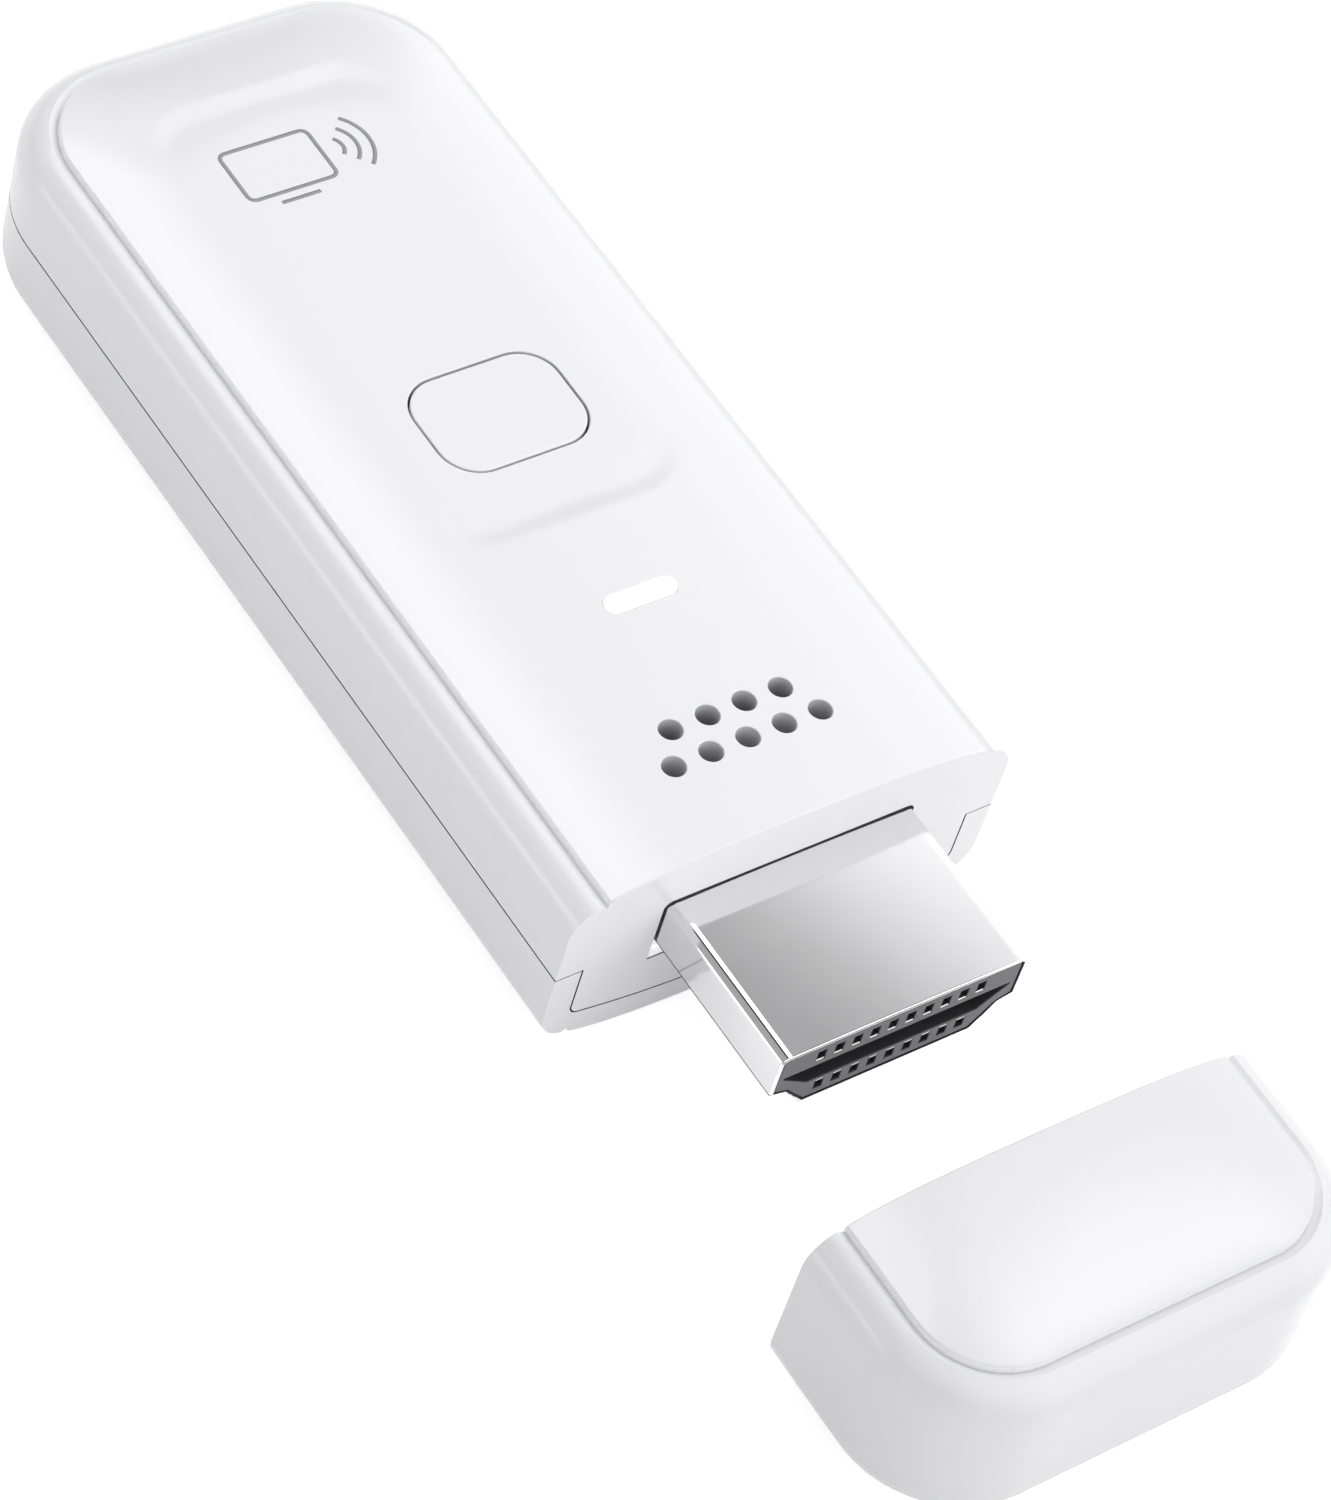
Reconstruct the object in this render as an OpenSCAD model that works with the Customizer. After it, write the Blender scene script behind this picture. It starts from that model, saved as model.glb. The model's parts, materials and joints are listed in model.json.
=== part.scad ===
// Wireless HDMI display adapter: a pocket stick with a fixed plug and a pull-off cap.
// The stick lies on its back panel, the plug points along -Y and the button faces up.
// Inside each module Y counts from the plug face of the housing and Z from its parting plane.

/* [Housing] */
// Width of the housing across its sides
body_w = 24.8; // [24.4:0.1:28]
// Length of the housing from its plug face to its tail
body_l = 55.4; // [54:0.1:64]
// Height of the housing between its two flat panels
body_h = 11.6; // [11.4:0.1:13]
// Thickness of the moulded walls
wall = 1.5; // [1.3:0.05:1.7]
// Corner radius of the raised panel, seen from above
panel_r = 5; // [4.4:0.1:6]
// Distance from the edge of the panel to the side of the housing
rim_w = 1.8; // [1.6:0.05:2.1]
// Width of the curved band along the edge of the panel
crown_w = 4.1; // [3:0.1:4.1]
// Drop of the panel over that curved band
crown = 0.85; // [0.5:0.01:0.95]
// Depth of the rim below the flat middle of the panel
rim_drop = 1; // [0.9:0.01:1.2]
// Radius of the soft shoulder below the rim
shoulder_r = 1.9; // [1.2:0.1:2.2]
// Width of the groove that frames the panel
groove_w = 0.6; // [0.3:0.05:0.8]
// Depth of the groove that frames the panel
groove_d = 0.3; // [0.1:0.05:0.4]
// Rounding inside the housing where a wall meets a panel
inner_r = 2.4; // [1.8:0.1:2.6]
// Length of the lip that locates one shell in the other
lip_h = 1; // [0.6:0.1:1.4]
// Thickness of that lip
lip_t = 0.7; // [0.5:0.05:0.8]
// Length of each snap ridge on the lip
snap_l = 4; // [2:0.5:6]
// Depth of each snap ridge
snap_d = 0.35; // [0.2:0.05:0.5]

/* [Top panel] */
// Diameter of each vent hole
vent_d = 1.2; // [0.8:0.1:1.4]
// Distance between neighbouring vent holes in a row
vent_pitch = 2.06; // [1.8:0.02:2.3]
// Distance between the two rows of vent holes
vent_row = 1.85; // [1.6:0.05:2.2]
// Distance from the plug face to the first row of vent holes
vent_y = 4.87; // [4.4:0.05:6]
// Number of vent holes in the first row
vent_count = 5; // [3:1:6]
// Place of the light window, as a share of the housing's length from the plug face
led_at = 0.2527; // [0.22:0.005:0.28]
// Length of the light window across the panel
led_w = 4; // [2:0.1:6]
// Width of the light window
led_d = 1.1; // [0.8:0.1:1.6]
// Place of the button, as a share of the housing's length from the plug face
button_at = 0.4765; // [0.46:0.005:0.5]
// Width of the button across the panel
button_w = 8.1; // [7:0.1:9]
// Length of the button along the housing
button_l = 5.96; // [5.4:0.02:7]
// Corner radius of the button
button_r = 1.95; // [1:0.05:2.4]
// Gap round the button
button_gap = 0.12; // [0.1:0.01:0.25]
// Travel of the button when it is pressed
button_travel = 0.3; // [0.2:0.05:0.35]
// Depth of the shallow tray round the button
tray_d = 0.15; // [0.05:0.01:0.25]
// Width of the tray, to the middle of its sloped edge
tray_w = 13; // [12:0.1:13.6]
// Near edge of the tray, as a share of the housing's length from the plug face
tray_at = 0.3556; // [0.34:0.005:0.37]
// Far edge of the tray, as a share of the housing's length from the plug face
tray_end_at = 0.8845; // [0.83:0.005:0.89]
// Corner radius of the tray, to the middle of its sloped edge
tray_r = 2.6; // [1.5:0.1:4]
// Width of the tray's sloped edge
tray_slope = 0.9; // [0.4:0.1:1.2]

/* [Plug] */
// Width of the plug's metal shell
plug_w = 13.9; // [13.8:0.01:14]
// Height of the plug's metal shell
plug_h = 4.45; // [4.4:0.01:4.55]
// Length of the plug outside the housing
plug_l = 9.5; // [9:0.1:12]
// Height of the plug's centre above the parting plane
plug_rise = 0.54; // [0.3:0.01:0.7]
// Height of the plug's straight sides
plug_side_h = 2.7; // [2.5:0.05:2.9]
// Width of the ledge below each side of the plug
plug_ledge = 0.95; // [0.7:0.05:1.1]
// Drop of the plug's shell across that ledge
plug_ledge_drop = 0.25; // [0.1:0.05:0.4]
// Width of the plug's flat underside
plug_base_w = 9.7; // [9:0.1:10]
// Thickness of the plug's metal shell
plug_t = 0.25; // [0.2:0.01:0.4]
// Corner radius of the plug's shell along its top edges
plug_corner_r = 0.35; // [0.2:0.05:0.9]
// Length of the plug's shell inside the housing
plug_in = 5.5; // [4.5:0.1:6]
// Distance between neighbouring contacts in a row
contact_pitch = 1; // [1:0.01:1.02]
// Number of contacts in the upper row
contact_count = 10; // [6:1:10]
// Width of each plug contact
contact_w = 0.44; // [0.3:0.01:0.5]
// Thickness of each plug contact
contact_t = 0.1; // [0.08:0.01:0.2]
// Gap between the plug's shell and the housing wall
plug_gap = 0.12; // [0.1:0.01:0.25]

/* [Cap] */
// Length of the cap
cap_l = 11.3; // [11.2:0.1:14]
// Corner radius of the panel at the cap's closed end
cap_panel_r = 4.2; // [4.1:0.1:5]
// Distance from the plug face to the rim of the cap when it is pulled off
cap_off = 18.9; // [14:0.1:40]
// Thickness of the cap's closed end
cap_end = 1.3; // [1:0.05:1.6]
// Thickness of the ribs that hold the plug in the cap
cap_rib_t = 0.9; // [0.7:0.05:1.4]
// Gap between those ribs and the plug
cap_grip_gap = 0.08; // [0.05:0.01:0.15]
// Distance from the cap's rim to the start of its ribs
cap_rib_y = 1.2; // [0.8:0.1:2]

/* [Circuit board] */
// Thickness of the circuit board
pcb_t = 1; // [0.8:0.05:1.2]
// Gap between the circuit board and the lip round it
pcb_gap = 0.3; // [0.2:0.05:0.5]
// Corner radius of the circuit board at the tail
pcb_r = 1.6; // [1:0.1:2.5]
// Distance from the plug face to the front edge of the board
pcb_y1 = 8; // [7.6:0.1:9]
// Distance from the tail to the rear edge of the board
pcb_back = 5.6; // [5.2:0.1:6.5]
// Width and length of the video processor
soc_w = 10; // [8:0.5:11]
// Thickness of the video processor
soc_t = 1.2; // [1:0.05:1.3]
// Thickness of the thermal pad
pad_t = 0.6; // [0.4:0.05:0.7]
// Thickness of the heat spreader
spreader_t = 0.8; // [0.6:0.05:0.9]
// Width of the radio's shield
shield_w = 12; // [10:0.5:13]
// Length of the radio's shield
shield_l = 14; // [12:0.5:15]
// Height of the radio's shield
shield_h = 1.8; // [1.5:0.1:2.1]
// Thickness of the shield's sheet metal
shield_t = 0.2; // [0.15:0.01:0.25]
// Width and length of the button's switch
switch_w = 4.4; // [4:0.1:5]
// Height of the switch's housing above the board
switch_h = 1.5; // [1.3:0.1:1.6]
// Radius of the switch's plunger
plunger_r = 0.9; // [0.7:0.05:1]
// Radius of the screws' shanks
screw_r = 0.7; // [0.6:0.05:0.8]
// Length of the screws below their heads
screw_l = 3.6; // [3:0.1:4]
// Radius of the screws' heads
screw_head_r = 1.35; // [1.2:0.05:1.5]
// Height of the screws' heads
screw_head_h = 0.8; // [0.6:0.05:1]

/* [Power inlet] */
// Width of the power inlet's shell
usb_w = 8.94; // [8.9:0.01:9]
// Height of the power inlet's shell
usb_h = 3.2; // [3.16:0.01:3.26]
// Length of the power inlet's shell
usb_l = 7.35; // [6.5:0.05:8]
// Thickness of the power inlet's shell
usb_t = 0.3; // [0.2:0.01:0.35]
// Depth of the inlet's mouth below the tail wall
usb_inset = 0.3; // [0.1:0.05:0.6]
// Width of the inlet's tongue
tongue_w = 6.69; // [6.5:0.01:6.8]
// Thickness of the inlet's tongue
tongue_t = 0.7; // [0.6:0.01:0.72]
// Length of the inlet's tongue
tongue_l = 4.45; // [4.2:0.05:4.6]

/* [Hidden] */
$fn = 64;

// Small overrun of a cut past the face that it leaves
over = 0.5;
// Clearance between two parts that only slip together
slip = 0.05;

half_w = body_w / 2;
half_h = body_h / 2;
rim_z = half_h - rim_drop;
ceiling = half_h - wall;
side_r = panel_r + rim_w;
spine_w = half_w - side_r;
spine_l = body_l - side_r;
cap_side_r = cap_panel_r + rim_w;
cap_spine_w = half_w - cap_side_r;
inner_w = half_w - wall;
lip_in = inner_w - slip - lip_t;
led_y = body_l * led_at;
button_y = body_l * button_at;
tray_y1 = body_l * tray_at;
tray_y2 = body_l * tray_end_at;

// The lower edge of the plug face: a flat middle, a long curve on each side and a small corner
face_flat = 2;
face_edge_r = 41;
face_gap = 0.09;
face_corner_r = 0.6;

plug_z = plug_rise;
plug_top = plug_z + plug_h / 2;
plug_bottom = plug_z - plug_h / 2;
// The slot that takes the receptacle's tongue, and the windows of the spring contacts round it
slot_drop = 1.7;
slot_h = 1.25;
slot_point = 0.15;
slot_top = plug_top - slot_drop;
slot_bottom = slot_top - slot_h;
slot_knee = slot_bottom + slot_point;
slot_half_w = 6.4;
slot_knee_half_w = 5;
slot_base_half_w = 4.8;
slot_depth = 8;
insulator_slip = 0.04;
collar_slip = 0.02;
insulator_back = plug_in - 0.5;
window_play = 0.04;
window_w = contact_w + 2 * window_play;
window_h = 0.74;
window_rise = 0.705;
window_drop = 0.52;
contact_top_z = slot_top + window_rise;
contact_low_z = slot_bottom - window_drop;
contact_inset = 0.06;
contact_bend = 0.3;
contact_bend_y = insulator_back + contact_bend;
contact_tail = 1.2;

// The collar stands behind the plug face, and its nose fills the opening below the plug's ledges
collar_back = plug_in - 1;
collar_gap = 0.3;
collar_half_w = lip_in - collar_gap;
collar_margin_z = 1.2;
collar_r = 1.5;
nose_rise = 0.45;
nose_z = plug_bottom + nose_rise;
nose_y = 0.3;
nose_lip = 0.25;
nose_lip_h = 0.3;
nose_slot = 0.12;
nose_slot_deep = 0.7;

tray_z = half_h - tray_d;
button_top = tray_z;
flange_w = 0.7;
flange_t = 0.5;
flange_gap = 0.05;
flange_z = ceiling - flange_gap - flange_t;
stem_r = 1.2;

snap_near = 0.3;
snap_far = 0.72;
snap_play = 0.1;

pcb_z = plug_z + 0.11;
pcb_top = pcb_z + pcb_t / 2;
pcb_low = pcb_z - pcb_t / 2;
pcb_half_w = lip_in - pcb_gap;
pcb_y2 = body_l - pcb_back;

plunger_z = pcb_top + switch_h;
stem_l = 0.4;
plunger_rise = flange_z - plunger_z - stem_l;
plunger_foot = 0.6;
plunger_well = plunger_foot + button_travel + 0.1;
switch_r = 0.5;

led_size = [1.6, 0.8, 0.6];
pipe_gap = 0.1;
pipe_slip = 0.03;
pipe_flange = 0.6;

// Chips on the upper face of the board, then those on its lower face: width, length, thickness
soc_size = [soc_w, soc_w, soc_t];
pad_margin = 0.3;
flash_size = [6, 5, 1];
crystal_size = [2.5, 2, 0.6];
capacitor_size = [1, 0.6, 0.5];
capacitor_pitch = 1.6;
capacitor_count = 4;
antenna_size = [2, 3.2, 1];
antenna_margin = 1.2;
memory_size = [7.5, 10, 1];
radio_size = [6, 6, 0.9];
inductor_size = [2.5, 3, 1.5];

// Room between neighbours on the board, and from a boss to what stands beside it
board_room = 1;
screw_room = 0.1;
boss_r = 1.5;
post_r = 1.2;
contacts_end = pcb_y1 + contact_tail;
screw_y1 = contacts_end + boss_r / 3;
screw_x = pcb_half_w - boss_r - screw_room;
spreader_r = 0.8;
spreader_margin = 1.2;
spreader_half_w = screw_x - boss_r - 4 * screw_room;
spreader_y1 = button_y + button_l / 2 + flange_w + board_room;
soc_y = spreader_y1 + spreader_margin + soc_w / 2;
spreader_y2 = soc_y + soc_w / 2 + spreader_margin;
screw_y2 = spreader_y1 - boss_r - screw_room;
screw_spots = [[screw_x, screw_y1], [-screw_x, screw_y2]];
post_spots = [[-screw_x, screw_y1], [screw_x, screw_y2]];
shield_y = screw_y1 + boss_r + 2 * screw_room;
shield_mid = shield_y + shield_l / 2;
memory_y = soc_y;
inductor_x = (memory_size[0] / 2 + pcb_half_w) / 2;
flash_y = (led_y + button_y) / 2;
capacitor_x = (shield_w - capacitor_size[0]) / 2;
crystal_spot = [(flash_size[0] + crystal_size[0]) / 2 + board_room, flash_y];
antenna_x = pcb_half_w - antenna_margin - antenna_size[0] / 2;
screw_bite = 0.02;
screw_play = 0.1;
screw_slot_w = 0.35;
screw_slot_d = 0.4;

usb_y2 = body_l - usb_inset;
usb_y1 = usb_y2 - usb_l;
tongue_depth = 0.8;
usb_base_l = usb_l - tongue_l - tongue_depth;
usb_gap = 0.1;
usb_notch = 0.2;
usb_contact_count = 12;
usb_contact_pitch = 0.5;
usb_contact_size = [0.25, 0.08];
usb_contact_margin = 0.4;
wing_w = 1.4;
wing_l = 1.4;
wing_y = usb_y1 + 0.3;

cap_depth = cap_l - cap_end;
cap_rib_x = 3.6;

// Where the housing's own origin lies in the finished part: the rest panel, half way along
module placed() {
    translate([0, -body_l / 2, half_h]) children();
}

module at_cap() {
    translate([0, -cap_off, 0]) children();
}

// Quarter of a section: a block of w by h whose outer top corner is rounded
module rounded_quarter(w, h, r) {
    square([w - r, h]);
    square([w, h - r]);
    translate([w - r, h - r]) intersection() {
        circle(r = r);
        square(r);
    }
}

// Half section of the housing from its spine out to its side: shoulder, groove and crowned panel
module outer_quarter(r_panel) {
    crown_r = (crown_w * crown_w + crown * crown) / (2 * crown);
    flat = r_panel - crown_w;
    difference() {
        rounded_quarter(r_panel + rim_w, rim_z, shoulder_r);
        polygon([
            [r_panel, rim_z - groove_d],
            [r_panel + groove_w, rim_z],
            [r_panel + groove_w, rim_z + over],
            [r_panel, rim_z + over]
        ]);
    }
    square([flat, half_h]);
    translate([flat, 0]) intersection() {
        square([crown_w, half_h]);
        translate([0, half_h - crown_r]) circle(r = crown_r, $fn = 256);
    }
}

module inner_quarter(r_side, gap = 0) {
    rounded_quarter(r_side - wall - gap, ceiling - gap, inner_r);
}

// Whole section across the housing: the half section on both sides of a flat middle
module across(spine, h) {
    translate([spine, 0]) children();
    mirror([1, 0]) translate([spine, 0]) children();
    translate([-spine, 0]) square([2 * spine, h]);
}

// Runs a half section along both sides and round the far end of a spine of the given size
module u_sweep(spine, near, far, h) {
    translate([0, far, 0]) rotate([90, 0, 0]) linear_extrude(far - near) across(spine, h) children();
    translate([-spine, far, 0]) rotate([90, 0, 90]) linear_extrude(2 * spine) children();
    translate([spine, far, 0]) rotate_extrude(angle = 90) children();
    translate([-spine, far, 0]) rotate([0, 0, 90]) rotate_extrude(angle = 90) children();
}

// Plan outline with a square front and two round corners at the tail
module tail_outline(w, y1, y2, r) {
    translate([-w, y1]) square([2 * w, y2 - r - y1]);
    translate([r - w, y1]) square([2 * (w - r), y2 - y1]);
    for (s = [-1, 1]) translate([s * (w - r), y2 - r]) circle(r = r);
}

module rounded_rect(w, l, r) {
    square([w - 2 * r, l], center = true);
    square([w, l - 2 * r], center = true);
    for (sx = [-1, 1]) {
        for (sy = [-1, 1]) translate([sx * (w / 2 - r), sy * (l / 2 - r)]) circle(r = r);
    }
}

module stadium(w, h) {
    square([w - h, h], center = true);
    for (s = [-1, 1]) translate([s * (w - h) / 2, 0]) circle(d = h);
}

// Puts a flat X-Z outline upright and runs it along Y
module run_y(y1, y2) {
    translate([0, y2, 0]) rotate([90, 0, 0]) linear_extrude(y2 - y1) children();
}

module outer_half() {
    u_sweep(spine_w, 0, spine_l, half_h) outer_quarter(panel_r);
}

module cavity_half(near) {
    u_sweep(spine_w, near, spine_l, ceiling) inner_quarter(side_r);
}

// The plug face below the parting plane: straight sides, small corners and an edge that follows the crown
module face_outline(gap) {
    w = inner_w - slip + gap;
    h = ceiling - slip + gap;
    r = face_edge_r + gap;
    c = face_corner_r + gap;
    side_z = (w - face_flat) * (w - face_flat) / (2 * r) - h;
    slope = (w - face_flat) / r;
    lean = sqrt(1 + slope * slope);
    corner_z = side_z + c * (lean - slope);
    meet = c - c * slope / lean;
    difference() {
        intersection() {
            translate([-w, -h]) square([2 * w, h]);
            union() {
                translate([-face_flat, -h]) square([2 * face_flat, h]);
                for (s = [-1, 1]) translate([s * face_flat, r - h]) circle(r = r, $fn = 256);
            }
        }
        for (s = [-1, 1]) scale([s, 1]) difference() {
            translate([w - meet, side_z - over]) square([meet + over, corner_z - side_z + over]);
            translate([w - c, corner_z]) circle(r = c);
        }
    }
}

// The plug face drops into the lower shell
module face_tongue() {
    run_y(0, wall) face_outline(0);
}

// What the lower shell has in front of its cavity, round the plug face
module face_sill() {
    mirror([0, 0, 1]) run_y(0, wall) across(spine_w, ceiling + slip) inner_quarter(side_r, -slip);
}

module lip_outline(gap) {
    w = inner_w - gap;
    r = side_r - wall - gap;
    difference() {
        tail_outline(w, wall, body_l - wall - gap, r);
        tail_outline(w - lip_t, wall - over, body_l - wall - gap - lip_t, r - lip_t);
        translate([0, body_l]) square([usb_w + 4 * lip_t, 4 * wall], center = true);
    }
}

module snap_ridges(depth, length, gap) {
    for (s = [-1, 1]) {
        for (y = [body_l * snap_near, body_l * snap_far]) translate([s * (inner_w - gap), 0, -lip_h / 2])
            run_y(y - length / 2, y + length / 2)
                polygon([[0, -depth], [s * depth, 0], [0, depth], [-s * slip, depth], [-s * slip, -depth]]);
    }
}

module button_outline(grow) {
    rounded_rect(button_w + 2 * grow, button_l + 2 * grow, button_r + grow);
}

// Outline of the plug's metal shell, drawn in by the given distance
module plug_outline(inset) {
    w = plug_w / 2 - inset;
    top = plug_top - inset;
    r = plug_corner_r - min(inset, plug_corner_r / 2);
    ledge = plug_top - plug_side_h + inset * 0.4;
    base = plug_base_w / 2 - inset * 0.6;
    low = plug_bottom + inset;
    translate([r - w, ledge]) square([2 * (w - r), top - ledge]);
    translate([-w, ledge]) square([2 * w, top - r - ledge]);
    for (s = [-1, 1]) translate([s * (w - r), top - r]) circle(r = r);
    polygon([
        [-w, ledge + slip],
        [-w, ledge],
        [plug_ledge - plug_w / 2 + inset * 0.4, ledge - plug_ledge_drop],
        [-base, low],
        [base, low],
        [plug_w / 2 - plug_ledge - inset * 0.4, ledge - plug_ledge_drop],
        [w, ledge],
        [w, ledge + slip]
    ]);
}

module plug_opening(gap) {
    plug_outline(-gap);
    translate([-plug_w / 2 - gap, nose_z - gap]) square([plug_w + 2 * gap, plug_h / 2]);
}

module tray_quarter() {
    polygon([
        [0, 0],
        [tray_r - tray_slope / 2, 0],
        [tray_r + tray_slope / 2, tray_d],
        [tray_r + tray_slope / 2, tray_d + over],
        [0, tray_d + over]
    ]);
}

// Shallow tray with a sloped edge, cut into the flat middle of the panel
module tray() {
    spine = tray_w / 2 - tray_r;
    reach = (tray_y2 - tray_y1) / 2 - tray_r;
    translate([0, (tray_y1 + tray_y2) / 2, tray_z]) {
        for (m = [0, 1]) mirror([0, m, 0]) u_sweep(spine, 0, reach, tray_d + over) tray_quarter();
    }
}

module vents() {
    for (row = [0, 1]) {
        count = vent_count - row;
        for (i = [0:count - 1]) {
            translate([(i - (count - 1) / 2) * vent_pitch, vent_y + row * vent_row, ceiling - over])
                cylinder(d = vent_d, h = wall + 2 * over);
        }
    }
}

module usb_hole() {
    run_y(body_l - 3 * wall, body_l + over) stadium(usb_w + 2 * usb_gap, usb_h + 2 * usb_gap);
}

module upper_shell() {
    color("white") difference() {
        union() {
            difference() {
                outer_half();
                cavity_half(wall);
            }
            face_tongue();
            translate([0, 0, -lip_h]) linear_extrude(lip_h) lip_outline(slip);
            linear_extrude(lip_h) lip_outline(0);
            snap_ridges(snap_d, snap_l, slip);
            for (p = screw_spots) translate([p[0], p[1], pcb_top])
                cylinder(r = boss_r, h = ceiling + slip - pcb_top);
        }
        for (p = screw_spots) translate([p[0], p[1], pcb_low])
            cylinder(r = screw_r + screw_bite, h = screw_l + 2 * screw_play);
        run_y(-over, wall + over) plug_opening(plug_gap);
        translate([0, button_y, ceiling - over]) linear_extrude(wall + 2 * over) button_outline(button_gap);
        translate([0, led_y, ceiling - over]) linear_extrude(wall + 2 * over)
            stadium(led_w + 2 * pipe_slip, led_d + 2 * pipe_slip);
        tray();
        vents();
        usb_hole();
    }
}

module lower_shell() {
    color("white") difference() {
        union() {
            difference() {
                mirror([0, 0, 1]) outer_half();
                mirror([0, 0, 1]) cavity_half(-over);
            }
            face_sill();
            for (p = post_spots) translate([p[0], p[1], -ceiling - slip])
                cylinder(r = post_r, h = pcb_low + ceiling + slip);
        }
        run_y(-over, wall) face_outline(face_gap);
        snap_ridges(snap_d + snap_play, snap_l + 4 * snap_play, 0);
        usb_hole();
    }
}

module cap_outer() {
    u_sweep(cap_spine_w, 0, cap_l - cap_side_r, half_h) outer_quarter(cap_panel_r);
}

module cap_cavity() {
    far = cap_l - cap_side_r;
    inner = cap_side_r - wall;
    u_sweep(cap_spine_w, -over, far - (cap_end - wall), ceiling) rounded_quarter(inner, ceiling, inner_r);
}

module cap_ribs() {
    start = cap_rib_y;
    reach = cap_depth + slip - start;
    side_reach = cap_l - cap_side_r / 2 - start;
    for (s = [-1, 1]) {
        translate([s * cap_rib_x - cap_rib_t / 2, start, plug_top + cap_grip_gap])
            cube([cap_rib_t, reach, ceiling + slip - plug_top - cap_grip_gap]);
        translate([s * cap_rib_x - cap_rib_t / 2, start, -ceiling - slip])
            cube([cap_rib_t, reach, plug_bottom - cap_grip_gap + ceiling + slip]);
        side = plug_w / 2 + cap_grip_gap;
        translate([s > 0 ? side : -inner_w - slip, start, plug_top - plug_side_h / 2 - cap_rib_t / 2])
            cube([inner_w + slip - side, side_reach, cap_rib_t]);
    }
}

// The cap is drawn with its rim at Y = 0 and its closed end towards -Y
module cap_shell() {
    color("white") at_cap() mirror([0, 1, 0]) {
        difference() {
            union() {
                cap_outer();
                mirror([0, 0, 1]) cap_outer();
            }
            cap_cavity();
            mirror([0, 0, 1]) cap_cavity();
        }
        cap_ribs();
    }
}

module button_cap() {
    color("whitesmoke") translate([0, button_y, 0]) {
        translate([0, 0, flange_z + flange_t]) linear_extrude(button_top - flange_z - flange_t)
            button_outline(0);
        translate([0, 0, flange_z]) linear_extrude(flange_t) button_outline(flange_w);
        translate([0, 0, flange_z - stem_l]) cylinder(r = stem_r, h = stem_l);
    }
}

module switch_plunger() {
    color("dimgray") translate([0, button_y, plunger_z - plunger_foot])
        cylinder(r = plunger_r, h = plunger_foot + plunger_rise);
}

module switch_body() {
    color("gray") translate([0, button_y, pcb_top]) difference() {
        linear_extrude(switch_h) rounded_rect(switch_w, switch_w, switch_r);
        translate([0, 0, switch_h - plunger_well]) cylinder(r = plunger_r + slip, h = switch_h);
    }
}

module led_light_pipe() {
    low = pcb_top + led_size[2] + pipe_gap;
    color("white") translate([0, led_y, 0]) {
        translate([0, 0, low]) linear_extrude(half_h - low) stadium(led_w, led_d);
        translate([0, 0, ceiling - flange_t]) linear_extrude(flange_t)
            stadium(led_w + 2 * pipe_flange, led_d + 2 * pipe_flange);
    }
}

module status_led() {
    color("lightyellow") chip([0, led_y], led_size);
}

module plug_shell() {
    color("silver") run_y(-plug_l, plug_in) difference() {
        plug_outline(0);
        plug_outline(plug_t);
    }
}

module contact_row(count) {
    for (i = [0:count - 1]) translate([(i - (count - 1) / 2) * contact_pitch, 0, 0]) children();
}

module plug_insulator() {
    color("gray") difference() {
        run_y(slip - plug_l, insulator_back) plug_outline(plug_t + insulator_slip);
        run_y(-plug_l - over, slot_depth - plug_l) polygon([
            [-slot_half_w, slot_top],
            [slot_half_w, slot_top],
            [slot_half_w, slot_top - slot_point],
            [slot_knee_half_w, slot_knee],
            [slot_base_half_w, slot_bottom],
            [-slot_base_half_w, slot_bottom],
            [-slot_knee_half_w, slot_knee],
            [-slot_half_w, slot_top - slot_point]
        ]);
        contact_row(contact_count) contact_window(contact_top_z);
        contact_row(contact_count - 1) contact_window(contact_low_z);
    }
}

module contact_window(z) {
    run_y(-plug_l - over, insulator_back + over) translate([0, z]) square([window_w, window_h], center = true);
}

// One spring contact: its tip lies on the slot side of the window and its tail on the board
module plug_contact(z, side) {
    tip = z - side * (window_h - contact_t) / 2;
    pad = pcb_z + side * (pcb_t + contact_t) / 2;
    tip_y = contact_inset - plug_l;
    bend = contact_bend_y;
    translate([-contact_w / 2, tip_y, tip - contact_t / 2]) cube([contact_w, bend - tip_y, contact_t]);
    translate([-contact_w / 2, bend - contact_t, min(tip, pad) - contact_t / 2])
        cube([contact_w, contact_t, abs(tip - pad) + contact_t]);
    translate([-contact_w / 2, bend - contact_t, pad - contact_t / 2])
        cube([contact_w, pcb_y1 + contact_tail - bend + contact_t, contact_t]);
}

module plug_contacts() {
    color("gold") {
        contact_row(contact_count) plug_contact(contact_top_z, 1);
        contact_row(contact_count - 1) plug_contact(contact_low_z, -1);
    }
}

// White moulded collar that carries the plug behind the plug face and fills the opening round it
module plug_collar() {
    gap = plug_gap - slip;
    color("white") difference() {
        union() {
            run_y(wall + slip, collar_back) translate([0, plug_z])
                rounded_rect(2 * collar_half_w, plug_h + 2 * collar_margin_z, collar_r);
            run_y(nose_y, wall + 2 * slip) difference() {
                plug_opening(gap);
                translate([0, plug_top]) square([2 * plug_w, plug_side_h * 2], center = true);
            }
            run_y(nose_y - nose_lip, nose_y + slip) intersection() {
                plug_opening(gap);
                translate([0, nose_z - gap]) square([2 * plug_w, 2 * nose_lip_h], center = true);
            }
        }
        translate([0, nose_y, nose_z - gap + nose_lip_h + nose_slot / 2])
            cube([2 * plug_w, nose_slot_deep, nose_slot], center = true);
        run_y(-over, collar_back + over) plug_outline(-collar_slip);
    }
}

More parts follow.
